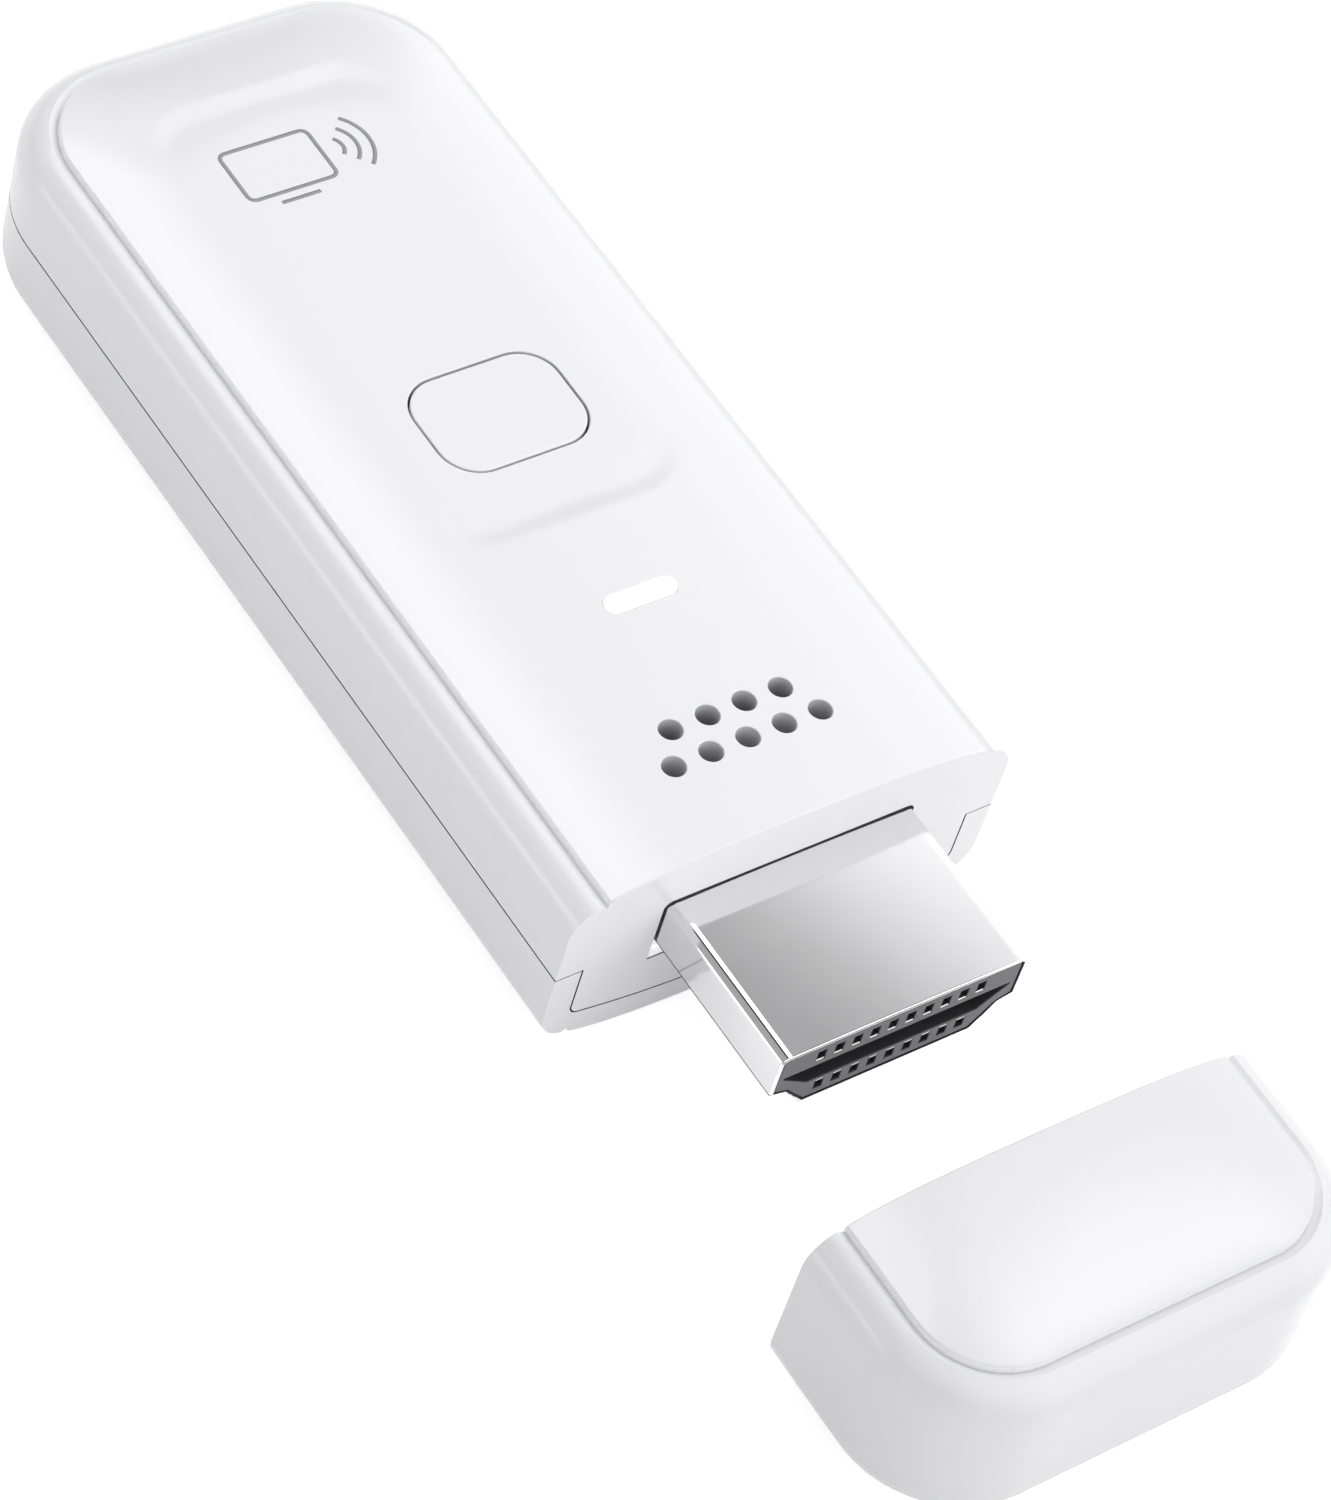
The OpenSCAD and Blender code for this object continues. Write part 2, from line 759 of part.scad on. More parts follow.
module main_board() {
    color("darkgreen") difference() {
        translate([0, 0, pcb_low]) linear_extrude(pcb_t) difference() {
            tail_outline(pcb_half_w, pcb_y1, pcb_y2, pcb_r);
            translate([0, body_l])
                square([usb_w + 2 * usb_notch, 2 * (body_l - usb_y1 + usb_notch)], center = true);
        }
        for (p = screw_spots) translate([p[0], p[1], pcb_low - over])
            cylinder(r = screw_r + screw_play, h = pcb_t + 2 * over);
    }
}

// A chip of the given size on the upper face of the board, and one on its lower face
module chip(spot, size) {
    translate([spot[0], spot[1], pcb_top + size[2] / 2]) cube(size, center = true);
}

module chip_below(spot, size) {
    translate([spot[0], spot[1], pcb_low - size[2] / 2]) cube(size, center = true);
}

module video_processor() {
    color("black") chip([0, soc_y], soc_size);
}

module thermal_pad() {
    w = soc_w - 2 * pad_margin;
    color("lightblue") translate([0, 0, soc_t]) chip([0, soc_y], [w, w, pad_t]);
}

module heat_spreader() {
    low = pcb_top + soc_t + pad_t;
    color("silver") translate([0, 0, low]) linear_extrude(spreader_t)
        translate([0, (spreader_y1 + spreader_y2) / 2])
            rounded_rect(2 * spreader_half_w, spreader_y2 - spreader_y1, spreader_r);
}

module memory_chip() {
    color("black") chip_below([0, memory_y], memory_size);
}

module flash_chip() {
    color("black") chip([0, flash_y], flash_size);
}

module radio_chip() {
    color("black") chip_below([0, shield_mid], radio_size);
}

module shield_wall(w, l, t) {
    difference() {
        square([w, l], center = true);
        square([w - 2 * t, l - 2 * t], center = true);
    }
}

module shield_frame() {
    h = shield_h - shield_t;
    color("silver") translate([0, shield_mid, pcb_low - h]) linear_extrude(h)
        shield_wall(shield_w, shield_l, shield_t);
}

module shield_lid() {
    skirt = shield_h / 2;
    w = shield_w + 2 * shield_t + slip;
    l = shield_l + 2 * shield_t + slip;
    color("lightgray") translate([0, shield_mid, pcb_low - shield_h]) {
        linear_extrude(shield_t) square([w, l], center = true);
        translate([0, 0, shield_t]) linear_extrude(skirt - shield_t) shield_wall(w, l, shield_t);
    }
}

module crystal() {
    color("silver") chip(crystal_spot, crystal_size);
}

module power_inductors() {
    color("dimgray") for (s = [-1, 1]) chip_below([s * inductor_x, memory_y], inductor_size);
}

module chip_capacitors() {
    color("tan") for (s = [-1, 1]) {
        for (i = [0:capacitor_count - 1])
            chip([s * capacitor_x, led_y + (i - (capacitor_count - 1) / 2) * capacitor_pitch], capacitor_size);
    }
}

module chip_antennas() {
    color("ivory") for (s = [-1, 1]) chip([s * antenna_x, usb_y1 - antenna_size[1] / 2], antenna_size);
}

module usb_outline(inset) {
    stadium(usb_w - 2 * inset, usb_h - 2 * inset);
}

// Tab that stands up from one side of the inlet's shell and turns out over the board
module inlet_wing() {
    translate([usb_w / 2 - usb_t, wing_y, 0]) cube([usb_t, wing_l, pcb_top + usb_t]);
    translate([usb_w / 2 - usb_t, wing_y, pcb_top]) cube([usb_t + wing_w, wing_l, usb_t]);
}

module power_inlet_shell() {
    color("silver") difference() {
        union() {
            run_y(usb_y1, usb_y2) usb_outline(0);
            for (m = [0, 1]) mirror([m, 0, 0]) inlet_wing();
        }
        run_y(usb_y1 - over, usb_y2 + over) usb_outline(usb_t);
    }
}

module power_inlet_tongue() {
    color("dimgray") {
        run_y(usb_y1, usb_y1 + usb_base_l) usb_outline(usb_t + insulator_slip);
        translate([-tongue_w / 2, usb_y1 + usb_base_l, -tongue_t / 2]) cube([tongue_w, tongue_l, tongue_t]);
    }
}

module power_inlet_contacts() {
    w = usb_contact_size[0];
    t = usb_contact_size[1];
    l = tongue_l - 2 * usb_contact_margin;
    y = usb_y1 + usb_base_l + tongue_l / 2;
    color("gold") for (s = [-1, 1]) {
        for (i = [0:usb_contact_count - 1])
            translate([(i - (usb_contact_count - 1) / 2) * usb_contact_pitch, y, s * (tongue_t + t) / 2])
                cube([w, l, t], center = true);
    }
}

module board_screws() {
    color("silver") for (p = screw_spots) translate([p[0], p[1], pcb_low]) {
        cylinder(r = screw_r, h = screw_l);
        difference() {
            translate([0, 0, -screw_head_h]) cylinder(r = screw_head_r, h = screw_head_h);
            for (a = [0, 90]) rotate([0, 0, a]) translate([0, 0, -screw_head_h])
                cube([screw_head_r, screw_slot_w, 2 * screw_slot_d], center = true);
        }
    }
}

placed() upper_shell();
placed() lower_shell();
placed() cap_shell();
placed() button_cap();
placed() switch_plunger();
placed() switch_body();
placed() led_light_pipe();
placed() status_led();
placed() plug_shell();
placed() plug_insulator();
placed() plug_contacts();
placed() plug_collar();
placed() main_board();
placed() video_processor();
placed() thermal_pad();
placed() heat_spreader();
placed() memory_chip();
placed() flash_chip();
placed() radio_chip();
placed() shield_frame();
placed() shield_lid();
placed() crystal();
placed() power_inductors();
placed() chip_capacitors();
placed() chip_antennas();
placed() power_inlet_shell();
placed() power_inlet_tongue();
placed() power_inlet_contacts();
placed() board_screws();
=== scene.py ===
# %% [markdown]
# # A wireless display adapter with its plug cap pulled off
# The adapter is a white moulded stick with a metal plug, and its cap lies in front of the plug. The frame below
# holds every rigid piece in its true place. This lesson dresses that frame: first the camera and the light, then
# each finish, then the pieces whose surface needs more than the frame gives. Lengths are in millimetres, unless a
# comment says otherwise.

# %% Load the frame
import json
import math

import bmesh
import bpy
from mathutils import Matrix, Vector
from mathutils.geometry import delaunay_2d_cdt


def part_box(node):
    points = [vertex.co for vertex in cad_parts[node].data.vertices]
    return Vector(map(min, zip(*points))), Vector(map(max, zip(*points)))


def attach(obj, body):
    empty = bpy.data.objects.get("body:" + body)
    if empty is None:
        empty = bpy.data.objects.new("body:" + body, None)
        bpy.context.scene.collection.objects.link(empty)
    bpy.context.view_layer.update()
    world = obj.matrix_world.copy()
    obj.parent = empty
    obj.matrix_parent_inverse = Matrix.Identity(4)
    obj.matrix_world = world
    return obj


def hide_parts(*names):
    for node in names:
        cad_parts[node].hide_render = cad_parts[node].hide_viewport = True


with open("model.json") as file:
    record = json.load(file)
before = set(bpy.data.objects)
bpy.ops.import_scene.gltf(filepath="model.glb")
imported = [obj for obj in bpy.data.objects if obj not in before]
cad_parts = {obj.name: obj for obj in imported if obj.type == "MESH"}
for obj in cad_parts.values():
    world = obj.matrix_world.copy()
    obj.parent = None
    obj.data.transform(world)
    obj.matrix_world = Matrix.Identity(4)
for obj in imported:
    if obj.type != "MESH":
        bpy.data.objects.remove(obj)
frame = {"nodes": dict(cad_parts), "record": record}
bpy.context.view_layer.update()
MM = 0.001

# %% [markdown]
# ## Camera
# A long lens looks down at the plug end from the left. It is given as an orbit round a point inside the housing,
# between the light window and the vents, and a roll, because these are the numbers that a photographer would set.

# %% Camera
SENSOR = 36.0
LENS = 132.4923
AZIMUTH = math.radians(-47.63974)
ELEVATION = math.radians(49.31556)
ROLL = math.radians(-18.52185)
DISTANCE = 257.424
AIM = Vector((-0.3295, -18.5668, 5.8))
NEAREST, FURTHEST = 0.01, 10  # metres


def put(name, data):
    """A new object in the scene."""
    made = bpy.data.objects.new(name, data)
    bpy.context.scene.collection.objects.link(made)
    return made


level = math.cos(ELEVATION)
back = Vector((math.sin(AZIMUTH) * level, -math.cos(AZIMUTH) * level, math.sin(ELEVATION)))
level_right = Vector((0, 0, 1)).cross(back).normalized()
level_down = (-back).cross(level_right)
image_right = math.cos(ROLL) * level_right + math.sin(ROLL) * level_down
image_up = math.sin(ROLL) * level_right - math.cos(ROLL) * level_down
camera = put("camera", bpy.data.cameras.new("camera"))
camera.data.sensor_width = SENSOR
camera.data.lens = LENS
camera.data.clip_start = NEAREST
camera.data.clip_end = FURTHEST
position = AIM + back * DISTANCE
axes = Matrix((image_right, image_up, back)).transposed().to_4x4()
camera.matrix_world = Matrix.Translation(position * MM) @ axes
bpy.context.scene.camera = camera
print("camera at", [round(c, 1) for c in position])

# %% [markdown]
# ## Nodes and colours
# Colours are picked as they look on a screen, so one function turns them to the linear values that shading needs.
# Another adds a shader node with its settings, and links any input that is given as a socket.

# %% Helpers for materials
WHITE = (1.0, 1.0, 1.0, 1.0)


def screen(code):
    """An sRGB hex colour as the linear colour that shading uses."""
    parts = [int(code[i:i + 2], 16) / 255 for i in (1, 3, 5)]
    return tuple(c / 12.92 if c <= 0.04045 else ((c + 0.055) / 1.055) ** 2.4 for c in parts) + (1.0,)


def add(tree, kind, inputs=None, **settings):
    """Adds a node. Inputs given as sockets are linked, and the others are set."""
    made = tree.nodes.new(kind)
    for name, value in settings.items():
        setattr(made, name, value)
    for name, value in (inputs or {}).items():
        if isinstance(value, bpy.types.NodeSocket):
            tree.links.new(value, made.inputs[name])
        else:
            made.inputs[name].default_value = value
    return made


def blank(name):
    """A material with an empty tree."""
    made = bpy.data.materials.new(name)
    made.use_nodes = True
    made.node_tree.nodes.clear()
    return made, made.node_tree


def in_mm(tree, stretch=(1, 1, 1)):
    """Object coordinates in millimetres, stretched for lines that run one way."""
    place = add(tree, "ShaderNodeTexCoord").outputs["Object"]
    return add(tree, "ShaderNodeMapping", {"Vector": place, "Scale": [s / MM for s in stretch]}).outputs["Vector"]


print("middle grey on a screen is linear", round(screen("#808080")[0], 3))

# %% [markdown]
# ## Studio
# The object lies on a plain pale sheet. The sheet is lifted to white where the camera or a mirror sees it, and it
# keeps the soft shadow that the object casts. From below it is clear, so that the back panel can be looked at.

# %% Floor
FLOOR = 1.5  # metres
FLOOR_DROP = 0.01 * MM
LIFT_SEEN = 0.28
LIFT_CAMERA = 0.28
LIFT_ALL = 0.09
sheet = bpy.data.meshes.new("studio_floor")
sheet_corners = [(x * FLOOR, y * FLOOR, -FLOOR_DROP) for x, y in ((-1, -1), (1, -1), (1, 1), (-1, 1))]
sheet.from_pydata(sheet_corners, [], [(0, 1, 2, 3)])
floor = put("studio_floor", sheet)
paper, tree = blank("white_paper_sheet")
rays = add(tree, "ShaderNodeLightPath").outputs
seen = add(tree, "ShaderNodeMath", {0: rays["Is Camera Ray"], 1: rays["Is Glossy Ray"]}, operation="MAXIMUM")
seen = add(tree, "ShaderNodeMath", {0: seen.outputs[0], 1: rays["Is Transmission Ray"]}, operation="MAXIMUM")
lift = add(tree, "ShaderNodeMath", {0: rays["Is Camera Ray"], 1: LIFT_CAMERA, 2: LIFT_ALL},
           operation="MULTIPLY_ADD")
lift = add(tree, "ShaderNodeMath", {0: seen.outputs[0], 1: LIFT_SEEN, 2: lift.outputs[0]}, operation="MULTIPLY_ADD")
pulp = add(tree, "ShaderNodeBsdfDiffuse", {"Color": screen("#E6E6E7"), "Roughness": 0.6})
raised = add(tree, "ShaderNodeEmission", {"Color": WHITE, "Strength": lift.outputs[0]})
both = add(tree, "ShaderNodeAddShader", {0: pulp.outputs[0], 1: raised.outputs[0]})
from_below = add(tree, "ShaderNodeNewGeometry").outputs["Backfacing"]
clear = add(tree, "ShaderNodeBsdfTransparent")
one_way = add(tree, "ShaderNodeMixShader", {0: from_below, 1: both.outputs[0], 2: clear.outputs[0]})
add(tree, "ShaderNodeOutputMaterial", {"Surface": one_way.outputs[0]})
sheet.materials.append(paper)
print("floor:", 2 * FLOOR, "m wide")

# %% [markdown]
# The room is a pale sky with soft boxes and cards, which the glossy surfaces mirror. The left crown mirrors the high
# box, the left shoulder the low strip, and the flat top and the plug the soft edge of the low box. The slopes that
# face the tail mirror one dark card, and the left edges of the housing and the plug the other. Each is a round spot
# in the sky: the last three numbers are the cosines at which it starts and is full, and its strength, which is
# below zero for a dark card.

# %% Sky, soft boxes and cards
SKY = 0.45
BOXES = (
    ("high box behind", (0.0, 0.50, 0.87), 0.935, 0.98, 3.0),
    ("low box at the right", (0.80, 0.45, 0.40), 0.862, 0.918, 0.8),
    ("small box over the front", (0.50, 0.10, 0.86), 0.965, 0.992, 3.0),
    ("dark card between the boxes", (0.48, 0.72, 0.50), 0.975, 0.993, -1.6),
    ("front fill", (0.35, -0.78, 0.52), 0.30, 0.95, 1.05),
    ("low strip at the left", (-0.90, 0.44, 0.05), 0.97, 0.995, 2.8),
    ("dark card at the left", (-0.56, 0.44, 0.70), 0.955, 0.985, -0.40),
)
world = bpy.data.worlds.new("studio_sky")
bpy.context.scene.world = world
world.use_nodes = True
tree = world.node_tree
tree.nodes.clear()
ray = add(tree, "ShaderNodeTexCoord").outputs["Generated"]
total = SKY
for title, towards, edge, heart, strength in BOXES:
    facing = add(tree, "ShaderNodeVectorMath", {0: ray, 1: Vector(towards).normalized()}, operation="DOT_PRODUCT")
    spot = add(tree, "ShaderNodeMapRange", {"Value": facing.outputs["Value"], "From Min": edge, "From Max": heart,
                                            "To Max": strength}, interpolation_type="SMOOTHSTEP", label=title)
    total = add(tree, "ShaderNodeMath", {0: total, 1: spot.outputs[0]}, operation="ADD").outputs[0]
sky = add(tree, "ShaderNodeBackground", {"Color": WHITE, "Strength": total})
add(tree, "ShaderNodeOutputWorld", {"Surface": sky.outputs[0]})
bpy.context.scene.view_settings.view_transform = "Standard"
print("boxes and cards:", len(BOXES))

# %% [markdown]
# ## Finishes
# Each finish is a real material and the way its surface was made. A table gives the values, and one function turns
# a row into nodes: a fine noise in millimetres that varies colour and gloss, and a bump of the same grain. The real
# grain of these mouldings and platings is a few hundredths of a millimetre. It is drawn two to ten times as coarse,
# because it would not show otherwise.

# %% Functions that make a finish
NOISE_LOW, NOISE_HIGH = 0.3, 0.7


def finish(name, colour, rough, grain, spread=0.04, bump=0.0, tint=0.03, stretch=(1, 1, 1), **sockets):
    """A procedural material: grain is the size of its pattern, and spread and tint vary its gloss and colour."""
    made, tree = blank(name)
    noise = add(tree, "ShaderNodeTexNoise", {"Vector": in_mm(tree, stretch), "Scale": 1 / grain, "Detail": 3.0})
    noise = noise.outputs[0]
    gloss = add(tree, "ShaderNodeMapRange", {"Value": noise, "From Min": NOISE_LOW, "From Max": NOISE_HIGH,
                                             "To Min": rough - spread, "To Max": rough + spread}).outputs[0]
    base = screen(colour)
    dark = tuple(c * (1 - tint) for c in base[:3]) + (1.0,)
    shade = add(tree, "ShaderNodeMix", {"Factor": noise, 6: dark, 7: base}, data_type="RGBA").outputs[2]
    inputs = {"Base Color": shade, "Roughness": gloss}
    if bump:
        inputs["Normal"] = add(tree, "ShaderNodeBump", {"Height": noise, "Strength": bump,
                                                        "Distance": grain * MM}).outputs[0]
    skin = add(tree, "ShaderNodeBsdfPrincipled", inputs | sockets)
    add(tree, "ShaderNodeOutputMaterial", {"Surface": skin.outputs[0]})
    return made


def painted_glow(strength):
    """Inputs for a faint painted glow on white plastic, which is no lamp."""
    return {"Emission Color": WHITE, "Emission Strength": strength}


# %% Finishes of the moulded, stamped and fired pieces
POLISHED = dict(grain=6.0, spread=0.02, tint=0.01, IOR=1.52)
FINISHES = {
    # ABS from a polished mould: clean and glossy, and faintly uneven in its gloss.
    "housing_white": dict(name="moulded_gloss_abs", colour="#E3E3E5", rough=0.20, **POLISHED),
    "button_white": dict(name="moulded_gloss_abs_button", colour="#E3E3E5", rough=0.24, **POLISHED),
    # Nylon from a spark-eroded mould: satin, with a faint painted glow that lightens it in its shade.
    "collar_white": dict(name="moulded_nylon", colour="#F4F4F5", rough=0.5, grain=0.3, bump=0.05, IOR=1.53,
                         **painted_glow(0.3)),
    # Epoxy with phosphor in it: pale yellow, smooth as it was cast.
    "led_body": dict(name="epoxy_over_phosphor", colour="#EFE3B0", rough=0.3, grain=0.2, IOR=1.5),
    # Bright nickel over rolled steel: a clear mirror, very slightly uneven in its gloss.
    "plug_metal": dict(name="bright_nickel_on_steel", colour="#E9E8EA", rough=0.08, grain=3.0, spread=0.01,
                       Metallic=1.0),
    # Stamped bronze with a bright plating: a soft mirror.
    "contact_gold": dict(name="bright_plated_bronze", colour="#FBFAF8", rough=0.25, grain=0.3, Metallic=1.0),
    # Solder mask over woven glass: glossy green, and lighter and darker with the weave below it.
    "board_green": dict(name="solder_mask_on_glass_epoxy", colour="#0F4A2A", rough=0.3, grain=0.8, bump=0.1,
                        tint=0.3, IOR=1.5),
    # Epoxy and nylon from etched moulds: black and matt, the nylon a little smoother.
    "chip_black": dict(name="moulded_chip_epoxy", colour="#1E1E20", rough=0.55, grain=0.08, bump=0.1, IOR=1.55),
    "switch_black": dict(name="moulded_black_nylon", colour="#222225", rough=0.45, grain=0.15, bump=0.06, IOR=1.53),
    # Calendered silicone: soft, matt and slightly pitted.
    "pad_blue": dict(name="soft_silicone_sheet", colour="#7F9CC4", rough=0.7, grain=0.25, bump=0.15, IOR=1.41),
    # Rolled aluminium: fine lines along the sheet.
    "spreader_aluminium": dict(name="rolled_aluminium_sheet", colour="#D6D6D8", rough=0.3, grain=0.1, bump=0.05,
                               stretch=(1, 0.03, 1), Metallic=1.0),
    # Tin-plated sheet: greyish, with soft clouds in its gloss.
    "shield_steel": dict(name="tin_plated_steel_sheet", colour="#C9C9C4", rough=0.32, grain=0.5, bump=0.04,
                         Metallic=1.0),
    # Pressed and fired powders: ferrite is dull and grainy, ceramic finer and a little glossier.
    "ferrite_grey": dict(name="pressed_ferrite", colour="#4A4A4C", rough=0.7, grain=0.1, bump=0.2, IOR=1.6),
    "ceramic_tan": dict(name="fired_tan_ceramic", colour="#B99C7A", rough=0.5, grain=0.1, bump=0.05, IOR=1.6),
    "ceramic_white": dict(name="fired_white_ceramic", colour="#ECE8DF", rough=0.4, grain=0.1, bump=0.05, IOR=1.6),
    # Drawn stainless steel: fine lines along the draw, under a thin nickel plating.
    "inlet_steel": dict(name="nickel_plated_stainless_steel", colour="#CFCFCF", rough=0.25, grain=0.15, bump=0.03,
                        stretch=(1, 0.1, 1), Metallic=1.0),
    # Zinc-plated steel: cool grey and slightly mottled.
    "screw_steel": dict(name="zinc_plated_steel", colour="#B9BBBD", rough=0.35, grain=0.2, bump=0.05, Metallic=1.0),
}
skins = {slot: finish(**row) for slot, row in FINISHES.items()}
print("finishes:", len(skins))

# %% Milky light pipe
# The milky pipe carries the same faint painted glow.
milk, tree = blank("milky_polycarbonate")
pipe_with_painted_glow = add(tree, "ShaderNodeBsdfPrincipled", {"Base Color": screen("#FBFBFB"), "Roughness": 0.3, "IOR": 1.58,
                                             **painted_glow(0.25)})
add(tree, "ShaderNodeOutputMaterial", {"Surface": pipe_with_painted_glow.outputs[0]})
skins["light_pipe"] = milk
print("light pipe:", milk.name)

# %% [markdown]
# Two mouldings carry a painted shade that darkens with depth. The plug's insulator keeps its grey at the face that
# catches the light, and behind it the slot and the windows are painted nearly black. Inside the housing the mould
# isn't polished, and its grey is painted darker lower down, so the cavity and the holes of the top panel end in
# painted shade.

# %% Finishes with painted shade that darkens with depth
INSULATOR_FACE = -37.15
SHADE_START, SHADE_DEPTH = 0.01, 0.08
HOLE_BOTTOM, HOLE_TOP = 10.0, 11.5


def painted_shade_by_depth(name, axis, start, end, colour, end_colour, rough, ior):
    """A material whose colour is painted shade that changes along one axis of the object, from start to end."""
    made, tree = blank(name)
    along = add(tree, "ShaderNodeSeparateXYZ", {0: in_mm(tree)}).outputs[axis]
    share = add(tree, "ShaderNodeMapRange", {"Value": along, "From Min": start, "From Max": end}).outputs[0]
    shade = add(tree, "ShaderNodeMix", {"Factor": share, 6: screen(colour), 7: screen(end_colour)},
                data_type="RGBA").outputs[2]
    skin = add(tree, "ShaderNodeBsdfPrincipled", {"Base Color": shade, "Roughness": rough, "IOR": ior})
    add(tree, "ShaderNodeOutputMaterial", {"Surface": skin.outputs[0]})
    return made


# Painted shade: the insulator turns dark behind its face, and the housing's inside turns darker lower down.
skins["insulator_grey"] = painted_shade_by_depth("moulded_glass_filled_nylon_of_plug_painted_shade", "Y", INSULATOR_FACE + SHADE_START,
                                   INSULATOR_FACE + SHADE_DEPTH, "#79797D", "#2C2C2F", 0.55, 1.55)
hole_painted_shade = painted_shade_by_depth("moulded_abs_inside_painted_shade", "Z", HOLE_BOTTOM, HOLE_TOP, "#767678", "#D8D8DA", 0.6, 1.52)
print("darken with depth:", skins["insulator_grey"].name, "and", hole_painted_shade.name)

# %% Finishes of parts of a piece: painted shade and painted light
# Deep in a seam little light arrives, so the seam's walls carry a painted shade. The upright wall of the framing
# groove is painted lighter, with a faint painted glow. The cap is painted a little darker than the housing and the
# plug face a little lighter, as painted shade and painted light, to match how they look in their places. The plug
# sheet's inside is painted dark nickel as shade, and its cut edge is painted white as a highlight.
seam_painted_shade = finish("moulded_abs_seam_painted_shade", "#242426", 0.6, 1.0, IOR=1.52)
groove_painted_light = finish("moulded_gloss_abs_groove_painted_light", "#ECECEE", 0.3, 6.0, tint=0.01, IOR=1.52, **painted_glow(0.05))
cap_painted_shade = finish("moulded_gloss_abs_cap_painted_shade", "#DADADC", 0.20, **POLISHED)
face_painted_light = finish("moulded_gloss_abs_plug_face_painted_light", "#EDEDEF", 0.22, **POLISHED)
plug_painted_shade = finish("nickel_painted_shade_in_plug", "#2C2C2E", 0.45, 3.0, Metallic=1.0)
cut_edge_painted_highlight = finish("cut_nickel_edge_painted_highlight", "#FFFFFF", 0.15, 3.0, tint=0.0, Metallic=1.0)
print("materials:", len(bpy.data.materials))

# %% Dress the frame's own pieces
slots = {row["node"]: row["material_slot"] for row in frame["record"]["subparts"]}
for node, piece in frame["nodes"].items():
    for i in range(len(piece.material_slots)):
        piece.material_slots[i].material = skins[slots[node]]
print("dressed:", len(frame["nodes"]), "pieces")

# %% [markdown]
# ## Crowned shells
# The housing and the cap are moulded with a soft crown that drops towards a framing groove, and the top carries a
# shallow tray. Flat facets would show in such glossy faces. So each shell starts as a copy of its frame piece,
# which has the groove, walls, bosses and snap ridges. The crowned face is taken off, and a fine skin is stretched
# over the opening. One rule gives the height of that skin at any point, and its slope gives the exact shading
# normals.

# %% Copies, measured from the plug face and the parting plane
PLUG_FACE = -27.7
PARTING = 5.8
SAME_POINT = 0.002
TINY = 1e-4
SMOOTH_COSINE = math.cos(math.radians(35))
to_mm = Matrix.Translation((0, -PLUG_FACE, -PARTING)) @ Matrix.Scale(1 / MM, 4)


def copy_of(node):
    """A merged copy of a frame piece, with room for normals that are told and not worked out."""
    shape = bmesh.new()
    shape.from_mesh(frame["nodes"][node].data)
    bmesh.ops.transform(shape, matrix=to_mm, verts=shape.verts)
    bmesh.ops.remove_doubles(shape, verts=shape.verts, dist=SAME_POINT)
    shape.loops.layers.float_vector.new("told")
    return shape


def turn(shape, matrix):
    """Turns or mirrors a copy, and keeps its faces outwards and its told normals right."""
    told = shape.loops.layers.float_vector["told"]
    bmesh.ops.transform(shape, matrix=matrix, verts=shape.verts)
    spin = matrix.to_3x3()
    for face in shape.faces:
        for loop in face.loops:
            loop[told] = spin @ loop[told]
    if spin.determinant() < 0:
        bmesh.ops.reverse_faces(shape, faces=shape.faces)
    shape.normal_update()


def cut(shape, point, normal):
    """Adds edges to a copy along a plane."""
    everything = shape.verts[:] + shape.edges[:] + shape.faces[:]
    bmesh.ops.bisect_plane(shape, geom=everything, plane_co=point, plane_no=normal, dist=TINY)


def settle(shape, name, slot, body, stands_for, *materials):
    """Makes the finished object: told normals where there are any, elsewhere the mean of the smooth neighbours."""
    told = shape.loops.layers.float_vector["told"]
    bmesh.ops.triangulate(shape, faces=[f for f in shape.faces if len(f.verts) > 4])
    shape.normal_update()
    normals = []
    for face in shape.faces:
        face.smooth = True
        for loop in face.loops:
            mean = loop[told].copy()
            if mean.length < 0.5:
                for other in loop.vert.link_faces:
                    if other.normal.dot(face.normal) > SMOOTH_COSINE and other.loops[0][told].length < 0.5:
                        mean += other.normal * other.calc_area()
            normals.append(mean.normalized() if mean.length else face.normal.copy())
    bmesh.ops.transform(shape, matrix=to_mm.inverted(), verts=shape.verts)
    mesh = bpy.data.meshes.new(name)
    shape.to_mesh(mesh)
    open_edges = sum(1 for e in shape.edges if len(e.link_faces) != 2)
    shape.free()
    mesh.normals_split_custom_set(normals)
    for material in materials or (skins[slot],):
        mesh.materials.append(material)
    piece = put(name, mesh)
    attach(piece, body)
    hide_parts(stands_for)
    print(name, len(mesh.polygons), "faces, edges without two faces:", open_edges)


# %% Boxes with round corners
# Each box is given by its middle, its half sizes and its corner radius.
def outline(cx, cy, hx, hy, r, step):
    """Points round such a box."""
    points = []
    turns = max(3, round(r * math.pi / 2 / step))
    for k, (sx, sy) in enumerate(((1, 1), (-1, 1), (-1, -1), (1, -1))):
        ox, oy = cx + sx * (hx - r), cy + sy * (hy - r)
        for i in range(turns + 1):
            a = math.pi / 2 * (k + i / turns)
            points.append((ox + r * math.cos(a), oy + r * math.sin(a)))
    full = []
    for a, b in zip(points, points[1:] + points[:1]):
        n = max(1, round(math.dist(a, b) / step))
        full += [(a[0] + (b[0] - a[0]) * i / n, a[1] + (b[1] - a[1]) * i / n) for i in range(n)]
    return full


def ring(box, inside, step):
    """Points round such a box, at some distance inside it."""
    cx, cy, hx, hy, r = box
    return outline(cx, cy, hx - inside, hy - inside, r - inside, step)


def depth_in(x, y, cx, cy, hx, hy, r):
    """How far a point is inside such a box, below zero outside it."""
    dx = abs(x - cx) - hx + r
    dy = abs(y - cy) - hy + r
    return r - math.hypot(max(dx, 0), max(dy, 0)) - min(max(dx, dy), 0)


print("middle of a 4 by 2 box is inside by", depth_in(0, 0, 0, 0, 2, 1, 0.5))

